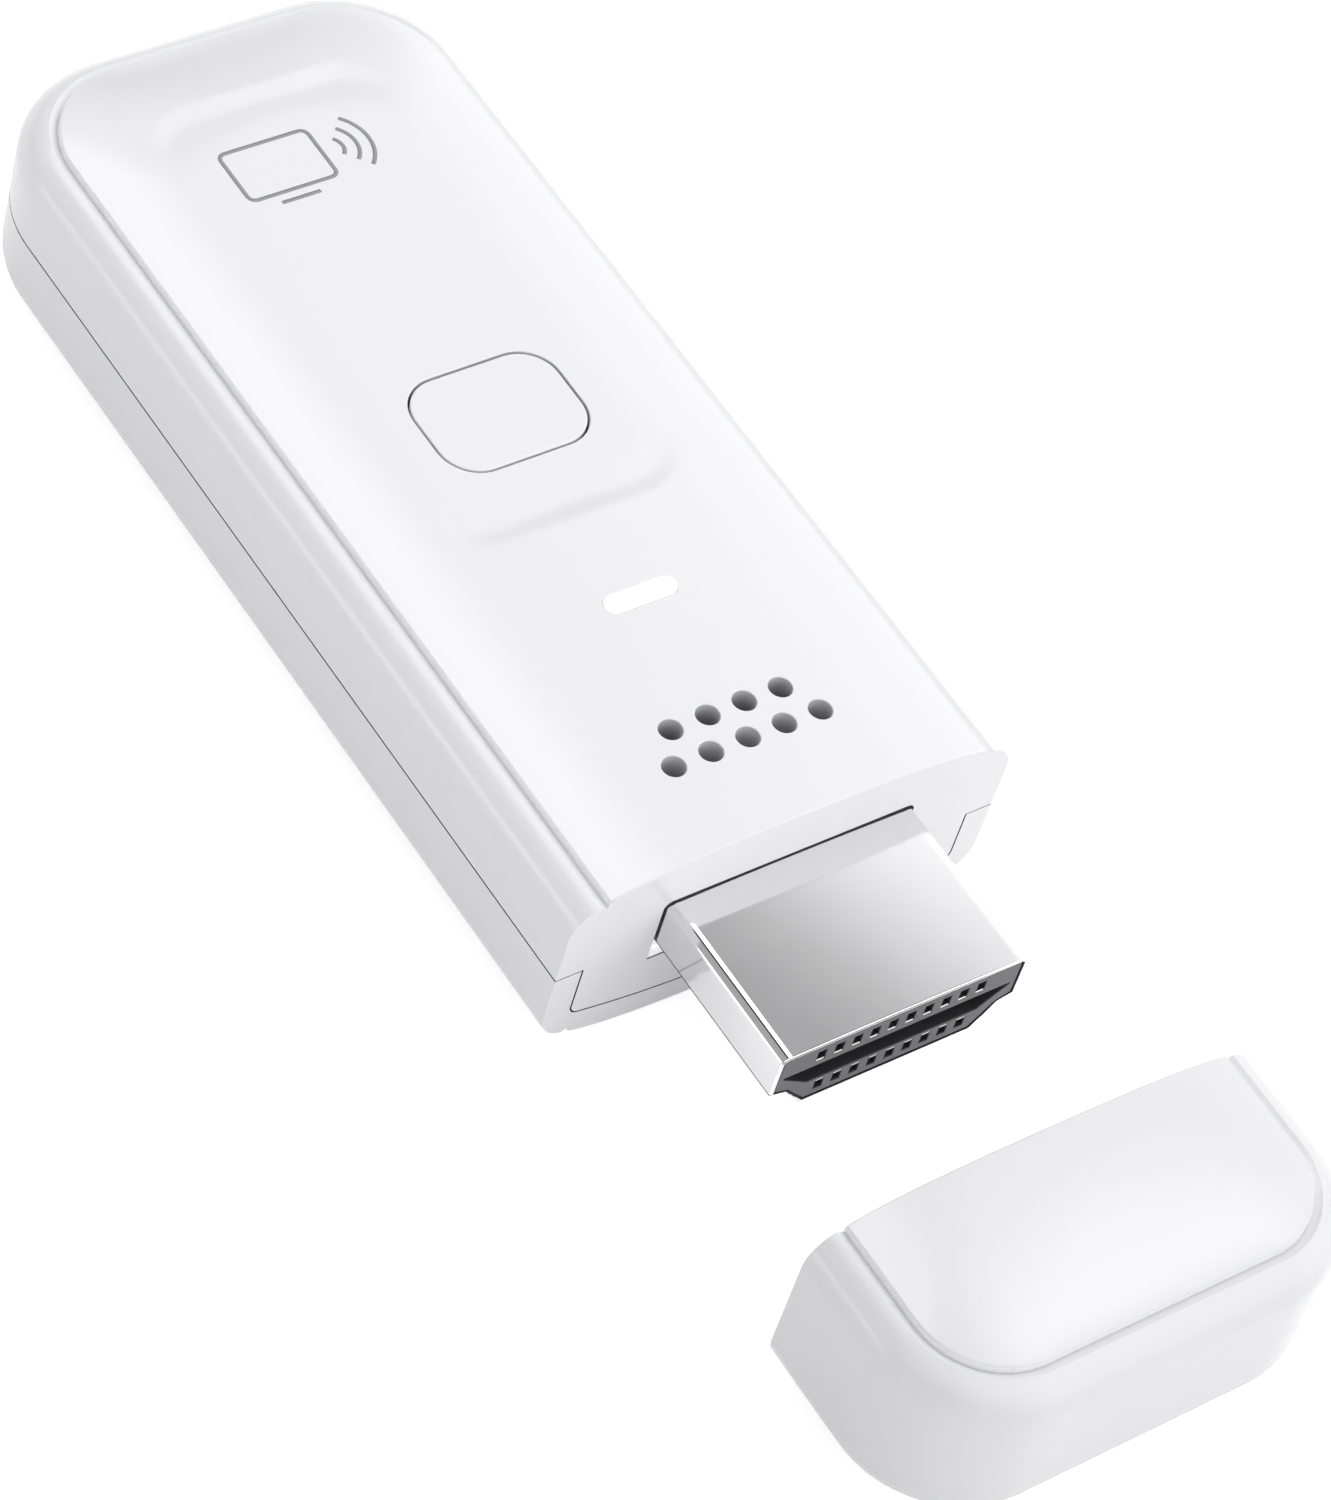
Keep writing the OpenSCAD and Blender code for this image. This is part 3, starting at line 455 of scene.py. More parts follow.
# %% Rounded edges and soft slopes
STEEPEST = 0.97


def rounding(d, r):
    """How far an edge of radius r has dropped at distance d from its side."""
    if d >= r:
        return 0.0
    across = min((r - max(d, 0)) / r, STEEPEST)
    return r - r * math.sqrt(1 - across * across)


def clamp(t):
    """A value held between 0 and 1."""
    return min(max(t, 0), 1)


def ease(t):
    """A slope from 0 to 1 with a soft start and end."""
    return clamp(t) ** 2 * (3 - 2 * clamp(t))


print("an edge of radius 1 has dropped", round(rounding(0.5, 1), 3), "at half its width")

# %% Stretch a skin over an opening
RIM_STEP = 0.5
FRONT_STEP = 0.45
RING_DEPTHS = (0.012, 0.03, 0.06, 0.1, 0.16)
PROBE = 0.005
RIM_INSIDE, SLOPE_INSIDE = 0.001, 0.003
MERGE = 1e-5


def stretch_skin(shape, height, covers, inner_points, material=0, depths=RING_DEPTHS):
    """Takes off the faces that covers() names and closes the opening with a fine skin of the given height."""
    told = shape.loops.layers.float_vector["told"]
    old = [f for f in shape.faces if covers(f)]
    bmesh.ops.delete(shape, geom=old, context="FACES")
    for edge in [e for e in shape.edges if e.is_boundary]:
        step = FRONT_STEP if max(abs(v.co.y) for v in edge.verts) < TINY else RIM_STEP
        cuts = int(edge.calc_length() / step)
        if cuts:
            bmesh.ops.subdivide_edges(shape, edges=[edge], cuts=cuts)
    rim = [e for e in shape.edges if e.is_boundary]
    corners = list(dict.fromkeys(v for e in rim for v in e.verts))
    place = {v: i for i, v in enumerate(corners)}
    lines = [(place[e.verts[0]], place[e.verts[1]]) for e in rim]
    flat = [v.co.xy for v in corners]
    walls = [(flat[a], flat[b]) for a, b in lines]

    def within(x, y):
        hits = (x < a.x + (y - a.y) / (b.y - a.y) * (b.x - a.x) for a, b in walls if (a.y > y) != (b.y > y))
        return sum(hits) % 2 == 1

    sides = [[] for _ in corners]
    for a, b in lines:
        inward = Vector((flat[a].y - flat[b].y, flat[b].x - flat[a].x)).normalized()
        middle = (flat[a] + flat[b]) / 2 + inward * PROBE
        if not within(*middle):
            inward = -inward
        sides[a].append(inward)
        sides[b].append(inward)
    inwards = [(pair[0] + pair[1]) / (1 + pair[0].dot(pair[1])) for pair in sides]
    for v, point, inward in zip(corners, flat, inwards):
        v.co.z = height(*(point + inward * RIM_INSIDE))
    n = len(flat)
    rings = [point + inward * d for d in depths for point, inward in zip(flat, inwards)]
    held = [(a + n * k, b + n * k) for k in range(len(depths) + 1) for a, b in lines]
    scattered = flat + rings + [Vector(p) for p in inner_points]
    points, _, faces, origin, _, _ = delaunay_2d_cdt(scattered, held, [], 0, MERGE)
    made = {}

    def vertex(i):
        if i not in made:
            known = [k for k in origin[i] if k < len(corners)]
            made[i] = corners[known[0]] if known else shape.verts.new((*points[i], height(*points[i])))
        return made[i]

    def slope_normal(v):
        x, y = v.co.xy + (inwards[place[v]] * SLOPE_INSIDE if v in place else Vector((0, 0)))
        dx = height(x + TINY, y) - height(x - TINY, y)
        dy = height(x, y + TINY) - height(x, y - TINY)
        return Vector((-dx, -dy, 2 * TINY)).normalized()

    kept = [face for face in faces if within(*(sum((points[i] for i in face), Vector((0, 0))) / 3))]
    normals = {}
    for face in kept:
        skin = shape.faces.new([vertex(i) for i in face])
        skin.material_index = material
        for loop in skin.loops:
            if loop.vert not in normals:
                normals[loop.vert] = slope_normal(loop.vert)
            loop[told] = normals[loop.vert]
    shape.normal_update()
    print("skin:", len(old), "old faces,", len(kept), "new")


# %% [markdown]
# The crown falls as a soft curve towards the framing groove, and its contour lines keep the round corners of the
# panel. The tray is a shallow dish: its two ends keep an even step, and its long sides fade into the crown.

# %% The height of the crowned panels
PANEL_HALF = 10.6
CROWN_TOP = 5.82
CROWN_DROP = 0.87
CROWN_REACH = 2.9
CROWN_FOOT = 4.93
EDGE_ROUND = 0.1
FRONT_ROUND = 0.1
CONTOURS = (0.28, 0.5, 0.8, 1.2, 1.6, 2.1, 2.7, 3.4, 4.2, 5.0, 6.0, 7.0, 8.0, 9.0, 10.0)
CONTOUR_REACH = 30
CONTOUR_STEP = 1.0
FIRST_ROW = 0.3
UPWARDS = 0.5


def inset(x, y, far, corner):
    """How far inside the panel's edge a point lies, in contour lines that all keep the corner radius."""
    p = abs(x) - PANEL_HALF + corner
    q = y - far + corner
    if q + PANEL_HALF - abs(x) <= 0:
        return PANEL_HALF - abs(x)
    if p + far - y <= 0:
        return far - y
    return (-(p + q) + math.sqrt(max(2 * corner * corner - (p - q) ** 2, 0))) / 2


def crown(x, y, far, corner):
    """Height of a crowned panel over the parting plane."""
    e = max(inset(x, y, far, corner), 0)
    z = CROWN_TOP - CROWN_DROP * math.exp(-e / CROWN_REACH)
    return z - rounding(e, EDGE_ROUND) - rounding(y, FRONT_ROUND)


def crown_points(far, corner):
    """Contour lines that are close together near the edge, and none on the sharp front edge."""
    points = []
    for e in CONTOURS:
        points += outline(0, far - e - CONTOUR_REACH, PANEL_HALF - e, CONTOUR_REACH, corner, CONTOUR_STEP)
    return [p for p in points if p[1] > FIRST_ROW]


def crowned_face(face):
    """Whether a face belongs to the faceted crown that the skin takes the place of."""
    return face.calc_center_median().z > CROWN_FOOT and face.normal.z > UPWARDS


print("crown over its foot:", CROWN_DROP, "mm, contour lines:", len(CONTOURS))

# %% Tray, vents, light window and button opening of the top panel
FAR, CORNER = 53.6, 5.0
TRAY = (0.0, 34.35, 6.5, 14.65, 2.6)
TRAY_FLOOR = 5.65
TRAY_SLOPE = 1.4
TRAY_BLEND = 0.03
TRAY_LEAST = 0.125
TRAY_FADE = 3.6
TRAY_RINGS = (-0.7, -0.5, -0.3, -0.1, 0.1, 0.3, 0.5, 0.7, 1.1, 1.6, 2.2)
TRAY_STEP = 0.8
VENT_R, VENT_ROUND = 0.6, 0.06
VENT_PITCH, VENT_ROW_PITCH, FIRST_VENTS = 2.06, 1.85, 4.87
VENT_ROWS = (5, 4)
LIGHT_WINDOW, LIGHT_ROUND = (0, 14.0, 2.03, 0.58, 0.58), 0.04
BUTTON_AT = 26.398
BUTTON_OPENING, OPENING_ROUND = (0, BUTTON_AT, 4.17, 3.1, 2.07), 0.05
HOLE_CLEAR = 0.25
HOLE_NEAR = 4
VENTS = [((i - (count - 1) / 2) * VENT_PITCH, FIRST_VENTS + VENT_ROW_PITCH * row)
         for row, count in enumerate(VENT_ROWS) for i in range(count)]
HOLES = [((x, y, VENT_R, VENT_R, VENT_R), VENT_ROUND) for x, y in VENTS]
HOLES += [(LIGHT_WINDOW, LIGHT_ROUND), (BUTTON_OPENING, OPENING_ROUND)]


def top_height(x, y):
    """Height of the top panel over the parting plane: the crown, less the tray, less the rounded edges of holes."""
    z = crown(x, y, FAR, CORNER)
    over = z - TRAY_FLOOR
    least = TRAY_LEAST * ease((abs(y - TRAY[1]) - TRAY[3]) / TRAY_FADE + 1)
    depth = (over + least + math.hypot(over - least, TRAY_BLEND)) / 2
    z -= depth * ease(depth_in(x, y, *TRAY) / TRAY_SLOPE + 0.5)
    return z - sum(rounding(-depth_in(x, y, *hole), r) for hole, r in HOLES if abs(y - hole[1]) < HOLE_NEAR)


def top_points():
    """Points for the top panel: its contour lines and the tray's slope, clear of the holes."""
    points = crown_points(FAR, CORNER)
    for inside in TRAY_RINGS:
        points += ring(TRAY, inside, TRAY_STEP)
    return [p for p in points if all(depth_in(*p, *hole) < -HOLE_CLEAR for hole, _ in HOLES)]


print("vents:", len(VENTS), "points of the top panel:", len(top_points()))

# %% [markdown]
# The two shells meet in a fine parting line. The frame's shells touch there, so each edge is drawn back a little and
# broken inwards, and the walls of the line carry a painted shade, so it stays dark. The same line runs on round the
# plug face.

# %% Parting line
SIDE = (0, 25.4, 12.4, 30.0, 6.8)
SEAM_GAP = 0.03
SEAM_BREAK = 0.02


def open_seam(shape):
    """Draws the shell's edge back from the parting plane at z = 0, and breaks its outer corner."""
    _, middle, half, reach, corner = SIDE
    cut(shape, (0, 0, SEAM_GAP + SEAM_BREAK), (0, 0, 1))
    for v in shape.verts:
        if abs(v.co.z) < TINY:
            v.co.z = SEAM_GAP
            if depth_in(v.co.x, v.co.y, *SIDE) < SAME_POINT and v.co.y > TINY:
                v.co.x *= 1 - SEAM_BREAK / half
                v.co.y -= SEAM_BREAK * max(v.co.y - (middle + reach - corner), 0) / corner
    shape.normal_update()


print("parting line:", 2 * SEAM_GAP, "mm wide")

# %% Which faces of a shell get painted shade, and which painted light
# Material numbers: painted shade inside and in the seam, painted light on the groove wall and the plug face.
INSIDE, SEAM, GROOVE, FACE = 1, 2, 3, 4
WALL = 1.45
STEEP, SQUARE = 0.3, 0.9
PANEL_FOOT = 4.3
CAVITY_HALF = 4.4
AT_EDGE = 0.05
BEHIND_FACE = 0.1
SEAM_FRONT, SEAM_INSIDE = 0.05, 0.2
SEAM_OUT, SEAM_UNDER = 8, -3.2
STRAIGHT = 30.0


def in_cavity(face):
    """Whether a face is inside the housing: in its cavity, its front seam or the plug's opening."""
    x, y, z = face.calc_center_median()
    behind = y > WALL or (y > BEHIND_FACE and abs(face.normal.y) < STEEP)
    return abs(z) < CAVITY_HALF and behind and depth_in(x, y, *SIDE) > WALL


def in_seam(face):
    """Whether a face is a wall of the fine seam round the plug face: behind the front, and inside the outline."""
    x, y, z = face.calc_center_median()
    over_panel = abs(x) < PANEL_HALF - FRONT_ROUND
    limit = crown(x, STRAIGHT, FAR, CORNER) - SEAM_INSIDE if over_panel else PANEL_FOOT
    near_front = SEAM_FRONT < y < WALL and abs(face.normal.y) < STEEP
    inside = abs(x) < SIDE[2] - SEAM_INSIDE and abs(z) < limit
    return near_front and inside and (abs(x) > SEAM_OUT or z < SEAM_UNDER)


def in_groove(face, far, corner):
    """Whether a face is the upright wall of the framing groove."""
    x, y, z = face.calc_center_median()
    return abs(z) > PANEL_FOOT and abs(face.normal.z) < STEEP and abs(inset(x, y, far, corner)) < AT_EDGE


def in_hole(face):
    """Whether a face is the upright wall of a hole in the top panel."""
    x, y, z = face.calc_center_median()
    steep = abs(z) > PANEL_FOOT and abs(face.normal.z) < STEEP
    return steep and any(depth_in(x, y, *hole) > -AT_EDGE for hole, _ in HOLES)


def shade_inside(shape):
    """Picks the material of a shell's faces: painted shade in the holes, the seam and the cavity, and painted light
    on the groove wall and the plug face.
    """
    for face in shape.faces:
        _, y, z = face.calc_center_median()
        if in_hole(face):
            face.material_index = INSIDE
        elif in_groove(face, FAR, CORNER):
            face.material_index = GROOVE
        elif in_seam(face) or (abs(z) < SEAM_GAP + SEAM_BREAK and y > TINY):
            face.material_index = SEAM
        elif in_cavity(face):
            face.material_index = INSIDE
        elif face.normal.y < -SQUARE and y < TINY:
            face.material_index = FACE
    print("faces of each finish:", [sum(f.material_index == k for f in shape.faces) for k in range(FACE + 1)])


# %% Upper and lower shell
UPSIDE_DOWN = Matrix.Scale(-1, 4, (0, 0, 1))
# The housing's finish, then painted shade inside, painted shade in the seam, painted light on the groove wall and on
# the plug face.
SHELL_SKINS = (skins["housing_white"], hole_painted_shade, seam_painted_shade, groove_painted_light, face_painted_light)
upper = copy_of("upper_shell")
stretch_skin(upper, top_height, crowned_face, top_points())
open_seam(upper)
shade_inside(upper)
settle(upper, "upper_shell_skin", "housing_white", "stick", "upper_shell", *SHELL_SKINS)

lower = copy_of("lower_shell")
turn(lower, UPSIDE_DOWN)
stretch_skin(lower, lambda x, y: crown(x, y, FAR, CORNER), crowned_face, crown_points(FAR, CORNER))
open_seam(lower)
turn(lower, UPSIDE_DOWN)
shade_inside(lower)
settle(lower, "lower_shell_skin", "housing_white", "stick", "lower_shell", *SHELL_SKINS)

# %% [markdown]
# The cap repeats the section of the housing, so the same crown dresses it, above and below. The copy is turned end
# for end, because its closed end points the other way, and moved until its mouth lies on the plug face.

# %% Cap
CAP_OFF = 18.9
CAP_FAR, CAP_CORNER = 9.5, 4.2
END_FOR_END = Matrix.Scale(-1, 4, (0, 1, 0))
cap = copy_of("cap_shell")
turn(cap, END_FOR_END @ Matrix.Translation((0, CAP_OFF, 0)))
for _ in ("above", "below"):
    stretch_skin(cap, lambda x, y: crown(x, y, CAP_FAR, CAP_CORNER), crowned_face,
                 crown_points(CAP_FAR, CAP_CORNER))
    turn(cap, UPSIDE_DOWN)
# The cap's groove wall gets the painted light, and the rest of the cap the darker painted shade of its finish.
for face in cap.faces:
    if in_groove(face, CAP_FAR, CAP_CORNER):
        face.material_index = 1
turn(cap, Matrix.Translation((0, -CAP_OFF, 0)) @ END_FOR_END)
settle(cap, "cap_shell_skin", "housing_white", "cap", "cap_shell", cap_painted_shade, groove_painted_light)

# %% Button
BUTTON = (0, BUTTON_AT, 4.05, 2.98, 1.95)
BUTTON_ROUND = 0.08
BUTTON_TOP, BUTTON_FOOT = 5.64, 5.6
BUTTON_RINGS, BUTTON_STEP = (0.4, 1.2), 0.5
button = copy_of("button_cap")
stretch_skin(button, lambda x, y: BUTTON_TOP - rounding(depth_in(x, y, *BUTTON), BUTTON_ROUND),
             lambda face: face.calc_center_median().z > BUTTON_FOOT and face.normal.z > UPWARDS,
             [p for inside in BUTTON_RINGS for p in ring(BUTTON, inside, BUTTON_STEP)])
settle(button, "button_cap_skin", "button_white", "button", "button_cap")

# %% [markdown]
# ## Plug shell
# The plug's shell is folded from bright nickel-plated sheet. Its top is not quite flat, as folded sheet never is, so
# what it mirrors runs from grey to white across it. The edges lean over the folds, and the left one has a fine bead.
# The front edge of the sheet is rounded where the blank was cut, and painted white as a highlight. The sheet's
# inside and the fold under its left side are painted dark nickel as shade.

# %% Dish and folds of the plug
PLUG_TOP = 2.765
PLUG_HALF = 6.95
PLUG_MIDDLE = 0.55
DISH, DISH_HALF = 0.045, 6.6
DISH_START, DISH_FADE = 0.35, 0.2
BOW, BOW_AT = 0.003, -5.5
FOLD, RIGHT_LEAN = 6.3, 4
EDGE_LEANS = ((6.30, 0), (6.38, 9), (6.53, 20), (6.57, 33), (6.62, 39), (6.66, 49), (6.88, 51), (6.95, 90))
TOP_BAND = 0.4
UNDER_LINE = 0.07
CUT_STEP, CUTS = 1.35, range(-4, 5)
SHEET_PAINTED_SHADE, CUT_EDGE = 1, 2


def edge_lean(x):
    """Degrees by which the folded edge leans at x. The left one has a fine bead, as the stamping leaves it."""
    if x > 0:
        return RIGHT_LEAN * clamp((x - FOLD) / (PLUG_HALF - FOLD))
    for (a, lean_a), (b, lean_b) in zip(EDGE_LEANS, EDGE_LEANS[1:]):
        if -x <= b + SAME_POINT / 2:
            return lean_a + (lean_b - lean_a) * clamp((-x - a) / (b - a))
    return EDGE_LEANS[-1][1]


def plug_normal(x, y):
    """The normal that the top of the plug is told: its dish, its bow along the plug, and the lean of its edges."""
    lean = math.radians(edge_lean(x))
    dish = 2 * DISH * x / DISH_HALF ** 2 * math.cos(lean)
    bow = BOW * (y - BOW_AT) * math.cos(lean)
    return Vector((dish + math.copysign(math.sin(lean), x), bow, math.cos(lean))).normalized()


plug = copy_of("plug_shell")
for x in [k * CUT_STEP for k in CUTS] + [-a for a, _ in EDGE_LEANS[:-1]] + [FOLD]:
    cut(plug, (x, 0, 0), (1, 0, 0))
outer_left = [f for f in plug.faces if f.normal.x < -SQUARE]
side_end = min(v.co.z for f in outer_left for v in f.verts if v.co.x < -PLUG_HALF + 0.01)
cut(plug, (0, 0, side_end + UNDER_LINE), (0, 0, 1))
told = plug.loops.layers.float_vector["told"]
for v in plug.verts:
    near_top = clamp((v.co.z - PLUG_TOP + DISH_START) / DISH_FADE)
    v.co.z -= near_top * DISH * min(abs(v.co.x) / DISH_HALF, 1) ** 2
plug.normal_update()
for face in plug.faces:
    middle = face.calc_center_median()
    lengthwise = abs(face.normal.y) < 0.5
    if lengthwise and face.normal.z > 0.02 and middle.z > PLUG_TOP - TOP_BAND:
        for loop in face.loops:
            loop[told] = plug_normal(loop.vert.co.x, loop.vert.co.y)
    # The sheet's inside and the fold that turns under its left side get a painted shade.
    inner = face.normal.dot(middle - Vector((0, middle.y, PLUG_MIDDLE))) < 0
    turns_under = face.normal.x < -SQUARE and middle.z < side_end + UNDER_LINE and not inner
    if lengthwise and (inner or turns_under):
        face.material_index = SHEET_PAINTED_SHADE
print("plug's side ends at", round(side_end, 3))

# %% The plug's mouth, as a skin over the cut edge of the sheet
PLUG_LENGTH = 9.5
SHEET_ROUND = 0.12
MOUTH_RINGS = (0.02, 0.05, 0.09)
SHADED_HALF = 0.11
SHADED_RIGHT, SHADED_BELOW = 6.5, 2.6
MOUTH_UP = Matrix(((1, 0, 0, 0), (0, 0, 1, 0), (0, -1, 0, 0), (0, 0, 0, 1)))


def plug_mouth(face):
    """Whether a face is the cut edge of the sheet at the plug's mouth."""
    return face.normal.z > SQUARE and face.calc_center_median().z > PLUG_LENGTH - 0.01


def ends(edge):
    """Both ends of an edge, seen from above."""
    return edge.verts[0].co.xy, edge.verts[1].co.xy


def to_line(point, a, b):
    """Distance from a point to a line between two others."""
    along = b - a
    t = clamp((point - a).dot(along) / along.length_squared)
    return (point - a - along * t).length


turn(plug, MOUTH_UP)
mouth = {f for f in plug.faces if plug_mouth(f)}
rim = [e for e in plug.edges if sum(f in mouth for f in e.link_faces) == 1]
mouth_lines = [ends(e) for e in rim]
inner_lines = [ends(e) for e in rim if any(f.material_index == SHEET_PAINTED_SHADE for f in e.link_faces)]


def mouth_height(x, y):
    """Height of the cut edge, rounded towards both faces of the sheet."""
    return PLUG_LENGTH - rounding(min(to_line(Vector((x, y)), a, b) for a, b in mouth_lines), SHEET_ROUND)


stretch_skin(plug, mouth_height, plug_mouth, [], CUT_EDGE, MOUTH_RINGS)
# The cut edge gets a painted highlight, and next to the inside, at the right and below, a painted shade.
for face in plug.faces:
    at = face.calc_center_median().xy
    if face.material_index == CUT_EDGE and (at.x > SHADED_RIGHT or at.y < PLUG_TOP - SHADED_BELOW):
        if min(to_line(at, a, b) for a, b in inner_lines) < SHADED_HALF:
            face.material_index = SHEET_PAINTED_SHADE
turn(plug, MOUTH_UP.transposed())
settle(plug, "plug_shell_skin", "plug_metal", "stick", "plug_shell", skins["plug_metal"], plug_painted_shade, cut_edge_painted_highlight)

# %% [markdown]
# ## Contacts
# The nineteen contacts are one stamped strip, repeated in two rows. One strip is modelled with its bend, and
# Geometry Nodes repeat it along a row. The tips are bright and end in the mouth of their windows.

# %% One contact
CONTACT_W, CONTACT_T = 0.44, 0.1
CONTACT_TIP = 0.01
CONTACT_BEND = 5.3
CRANK_IN, CRANK_RISE, CRANK_OUT = 0.2, 0.12, 0.15
CONTACT_BREAK = 0.015
insulator_face = (to_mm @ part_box("plug_insulator")[0]).y


def strip(tip_z, pad_z, tail_y):
    """One contact: a flat tip, a crank behind the insulator, and a tail on the board."""
    t = CONTACT_T / 2
    s = 1 if pad_z > tip_z else -1
    bend = CONTACT_BEND - t
    path = [(insulator_face + CONTACT_TIP, tip_z), (bend - CRANK_IN, tip_z), (bend, tip_z + s * CRANK_RISE),
            (bend, pad_z - s * CRANK_RISE), (bend + CRANK_OUT, pad_z), (tail_y, pad_z)]
    section = [(x * CONTACT_W / 2, k) for x, k in ((-1, -1), (1, -1), (1, 1), (-1, 1))]
    shape = bmesh.new()
    rings = []
    for i, (y, z) in enumerate(path):
        before, after = path[max(i - 1, 0)], path[min(i + 1, len(path) - 1)]
        along = Vector((after[0] - before[0], after[1] - before[1])).normalized()
        side = Vector((-along.y, along.x)) * t
        rings.append([shape.verts.new((x, y + k * side.x, z + k * side.y)) for x, k in section])
    for a, b in zip(rings, rings[1:]):
        for i in range(4):
            shape.faces.new((a[i], a[(i + 1) % 4], b[(i + 1) % 4], b[i]))
    shape.faces.new(rings[0][::-1])
    shape.faces.new(rings[-1])
    bmesh.ops.recalc_face_normals(shape, faces=shape.faces)
    bmesh.ops.bevel(shape, geom=shape.edges[:], offset=CONTACT_BREAK, segments=1, affect="EDGES")
    bmesh.ops.transform(shape, matrix=to_mm.inverted(), verts=shape.verts)
    mesh = bpy.data.meshes.new("contact_strip")
    shape.to_mesh(mesh)
    shape.free()
    return put("contact_strip", mesh)


print("insulator's face at y =", round(insulator_face, 3))

# %% A tree that repeats it
def new_tree(name, inputs):
    """A Geometry Nodes tree with named inputs and one geometry output."""
    tree = bpy.data.node_groups.new(name, "GeometryNodeTree")
    tree.interface.new_socket("Geometry", in_out="OUTPUT", socket_type="NodeSocketGeometry")
    for title, kind in inputs.items():
        tree.interface.new_socket(title, in_out="INPUT", socket_type="NodeSocket" + kind)
    return tree, add(tree, "NodeGroupInput").outputs


def repeat(tree, name, **inputs):
    """Runs a tree on an empty object and keeps its result as a plain mesh."""
    carrier = put(name, bpy.data.meshes.new(name))
    change = carrier.modifiers.new("row", "NODES")
    change.node_group = tree
    for socket in tree.interface.items_tree:
        if socket.in_out == "INPUT" and socket.name in inputs:
            change[socket.identifier] = inputs[socket.name]
    bpy.context.view_layer.update()
    result = carrier.evaluated_get(bpy.context.evaluated_depsgraph_get())
    mesh = bpy.data.meshes.new_from_object(result)
    carrier.modifiers.remove(change)
    carrier.data = mesh
    return carrier


tree, given = new_tree("contact_row", {"Contact": "Object", "Count": "Int", "Pitch": "Float", "Finish": "Material"})
gaps = add(tree, "ShaderNodeMath", {0: given["Count"], 1: 1.0}, operation="SUBTRACT").outputs[0]
half = add(tree, "ShaderNodeMath", {0: gaps, 1: -0.5}, operation="MULTIPLY").outputs[0]
start = add(tree, "ShaderNodeMath", {0: half, 1: given["Pitch"]}, operation="MULTIPLY").outputs[0]
first = add(tree, "ShaderNodeCombineXYZ", {"X": start}).outputs[0]
step = add(tree, "ShaderNodeCombineXYZ", {"X": given["Pitch"]}).outputs[0]
line = add(tree, "GeometryNodeMeshLine", {"Count": given["Count"], "Start Location": first, "Offset": step})
shape = add(tree, "GeometryNodeObjectInfo", {"Object": given["Contact"]}).outputs["Geometry"]
many = add(tree, "GeometryNodeInstanceOnPoints", {"Points": line.outputs[0], "Instance": shape}).outputs[0]
real = add(tree, "GeometryNodeRealizeInstances", {"Geometry": many}).outputs[0]
dressed = add(tree, "GeometryNodeSetMaterial", {"Geometry": real, "Material": given["Finish"]}).outputs[0]
add(tree, "NodeGroupOutput", {"Geometry": dressed})
contact_tree = tree
print("nodes in the tree of a row:", len(contact_tree.nodes))

# %% Two rows of contacts
CONTACT_PITCH = 1.0
CONTACT_ROWS = ((10, 0.995, 1), (9, 3.47, -1))
WINDOW_H = 0.74
BOARD_Z, BOARD_T = 0.65, 1.0
tail = (to_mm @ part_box("plug_contacts")[1]).y
for count, below_top, side in CONTACT_ROWS:
    tip = PLUG_TOP - below_top - side * (WINDOW_H - CONTACT_T) / 2
    pad = BOARD_Z + side * (BOARD_T + CONTACT_T) / 2
    one = strip(tip, pad, tail)
    row = repeat(contact_tree, f"contacts_of_{count}", Contact=one, Count=count, Pitch=CONTACT_PITCH * MM,
                 Finish=skins["contact_gold"])
    bpy.data.objects.remove(one)
    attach(row, "stick")
    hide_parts("plug_contacts")
    print(row.name, len(row.data.polygons), "faces")

# %% [markdown]
# ## Printed sign
# A pad-printed sign stands on the tray: a display with a stand and the arcs of a wireless link, in thin grey lines.
# Each line is a path. Geometry Nodes sweep one flat profile of ink along all of them, so the width is set once.

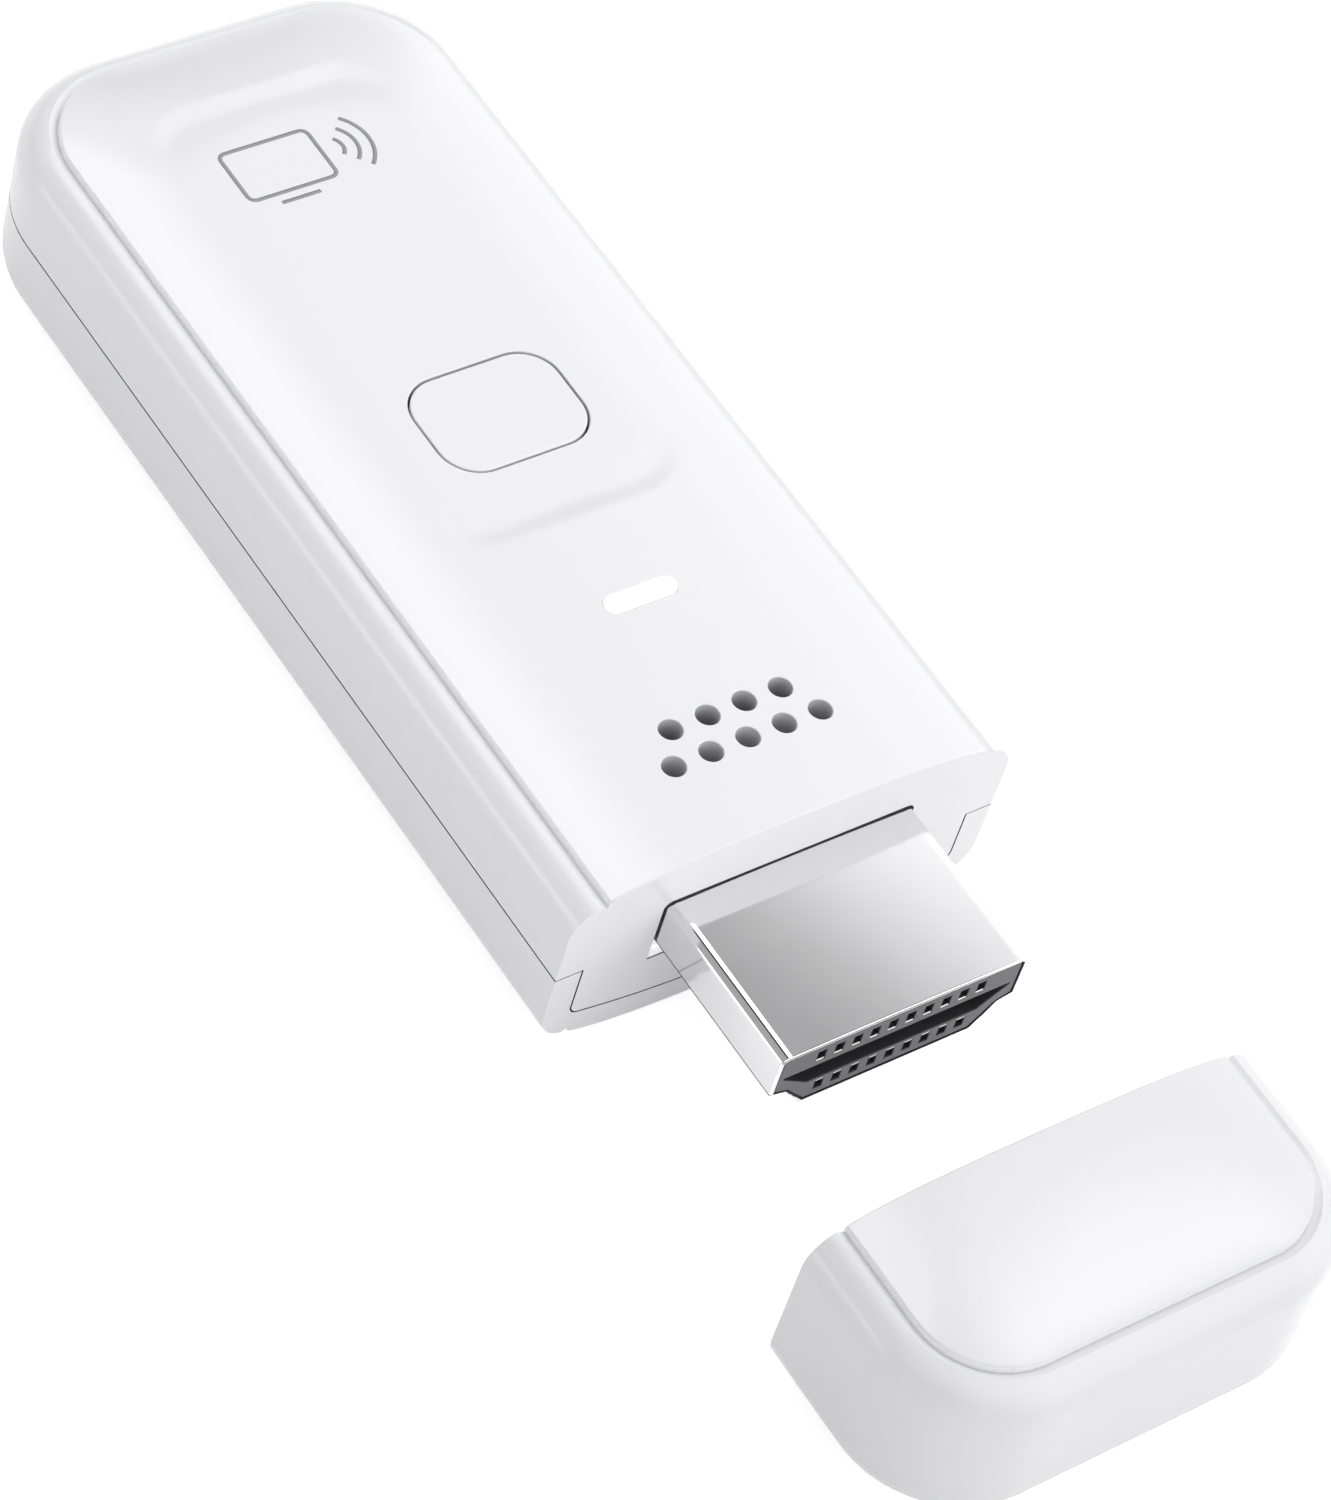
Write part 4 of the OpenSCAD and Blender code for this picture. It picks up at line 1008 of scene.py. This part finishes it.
# %% Paths of the sign
SIGN_AT = (-0.2, 44.4)
SIGN_MIDDLE = -0.1
DISPLAY, DISPLAY_STEP = (-1.4, SIGN_MIDDLE, 2.5, 1.65, 0.4), 0.12
STAND = ((-2.5, -2.35), (-0.3, -2.35))
ARCS_AT, ARC_RADII, ARC_ANGLES = 1.55, (0.75, 1.5, 2.25), range(-48, 49, 6)
INK_W, INK_T = 0.22, 0.02
INK_RISE = 0.004
lines = [(outline(*DISPLAY, DISPLAY_STEP), True), (STAND, False)]
for r in ARC_RADII:
    bends = [math.radians(a) for a in ARC_ANGLES]
    lines.append(([(ARCS_AT + r * math.cos(a), SIGN_MIDDLE + r * math.sin(a)) for a in bends], False))
paths = bpy.data.curves.new("sign_paths", "CURVE")
paths.dimensions = "3D"
ink_z = TRAY_FLOOR + INK_RISE - INK_T / 2
for points, closed in lines:
    spline = paths.splines.new("POLY")
    spline.points.add(len(points) - 1)
    spline.use_cyclic_u = closed
    for knot, (u, v) in zip(spline.points, points):
        knot.co = (*(to_mm.inverted() @ Vector((SIGN_AT[0] + u, SIGN_AT[1] + v, ink_z))), 1)
path_piece = put("sign_paths", paths)
print("lines of the sign:", len(paths.splines))

# %% Ink swept along the paths
ink, tree = blank("pad_printing_ink")
dried = add(tree, "ShaderNodeBsdfPrincipled", {"Base Color": screen("#8E8E91"), "Roughness": 0.45, "IOR": 1.5})
add(tree, "ShaderNodeOutputMaterial", {"Surface": dried.outputs[0]})

tree, given = new_tree("ink_lines", {"Paths": "Object", "Width": "Float", "Thickness": "Float",
                                     "Finish": "Material"})
drawn = add(tree, "GeometryNodeObjectInfo", {"Object": given["Paths"]}).outputs["Geometry"]
upright = add(tree, "GeometryNodeSetCurveNormal", {"Curve": drawn}, mode="Z_UP").outputs[0]
profile = add(tree, "GeometryNodeCurvePrimitiveQuadrilateral", {"Width": given["Width"],
                                                                "Height": given["Thickness"]}).outputs[0]
swept = add(tree, "GeometryNodeCurveToMesh", {"Curve": upright, "Profile Curve": profile,
                                              "Fill Caps": True}).outputs[0]
real = add(tree, "GeometryNodeRealizeInstances", {"Geometry": swept}).outputs[0]
inked = add(tree, "GeometryNodeSetMaterial", {"Geometry": real, "Material": given["Finish"]}).outputs[0]
add(tree, "NodeGroupOutput", {"Geometry": inked})
sign = repeat(tree, "printed_sign", Paths=path_piece, Width=INK_W * MM, Thickness=INK_T * MM, Finish=ink)
bpy.data.objects.remove(path_piece)
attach(sign, "stick")
low, high = Vector(sign.bound_box[0]) / MM, Vector(sign.bound_box[6]) / MM
print("sign:", len(sign.data.polygons), "faces, size", [round(b - a, 3) for a, b in zip(low, high)])

bpy.context.view_layer.update()
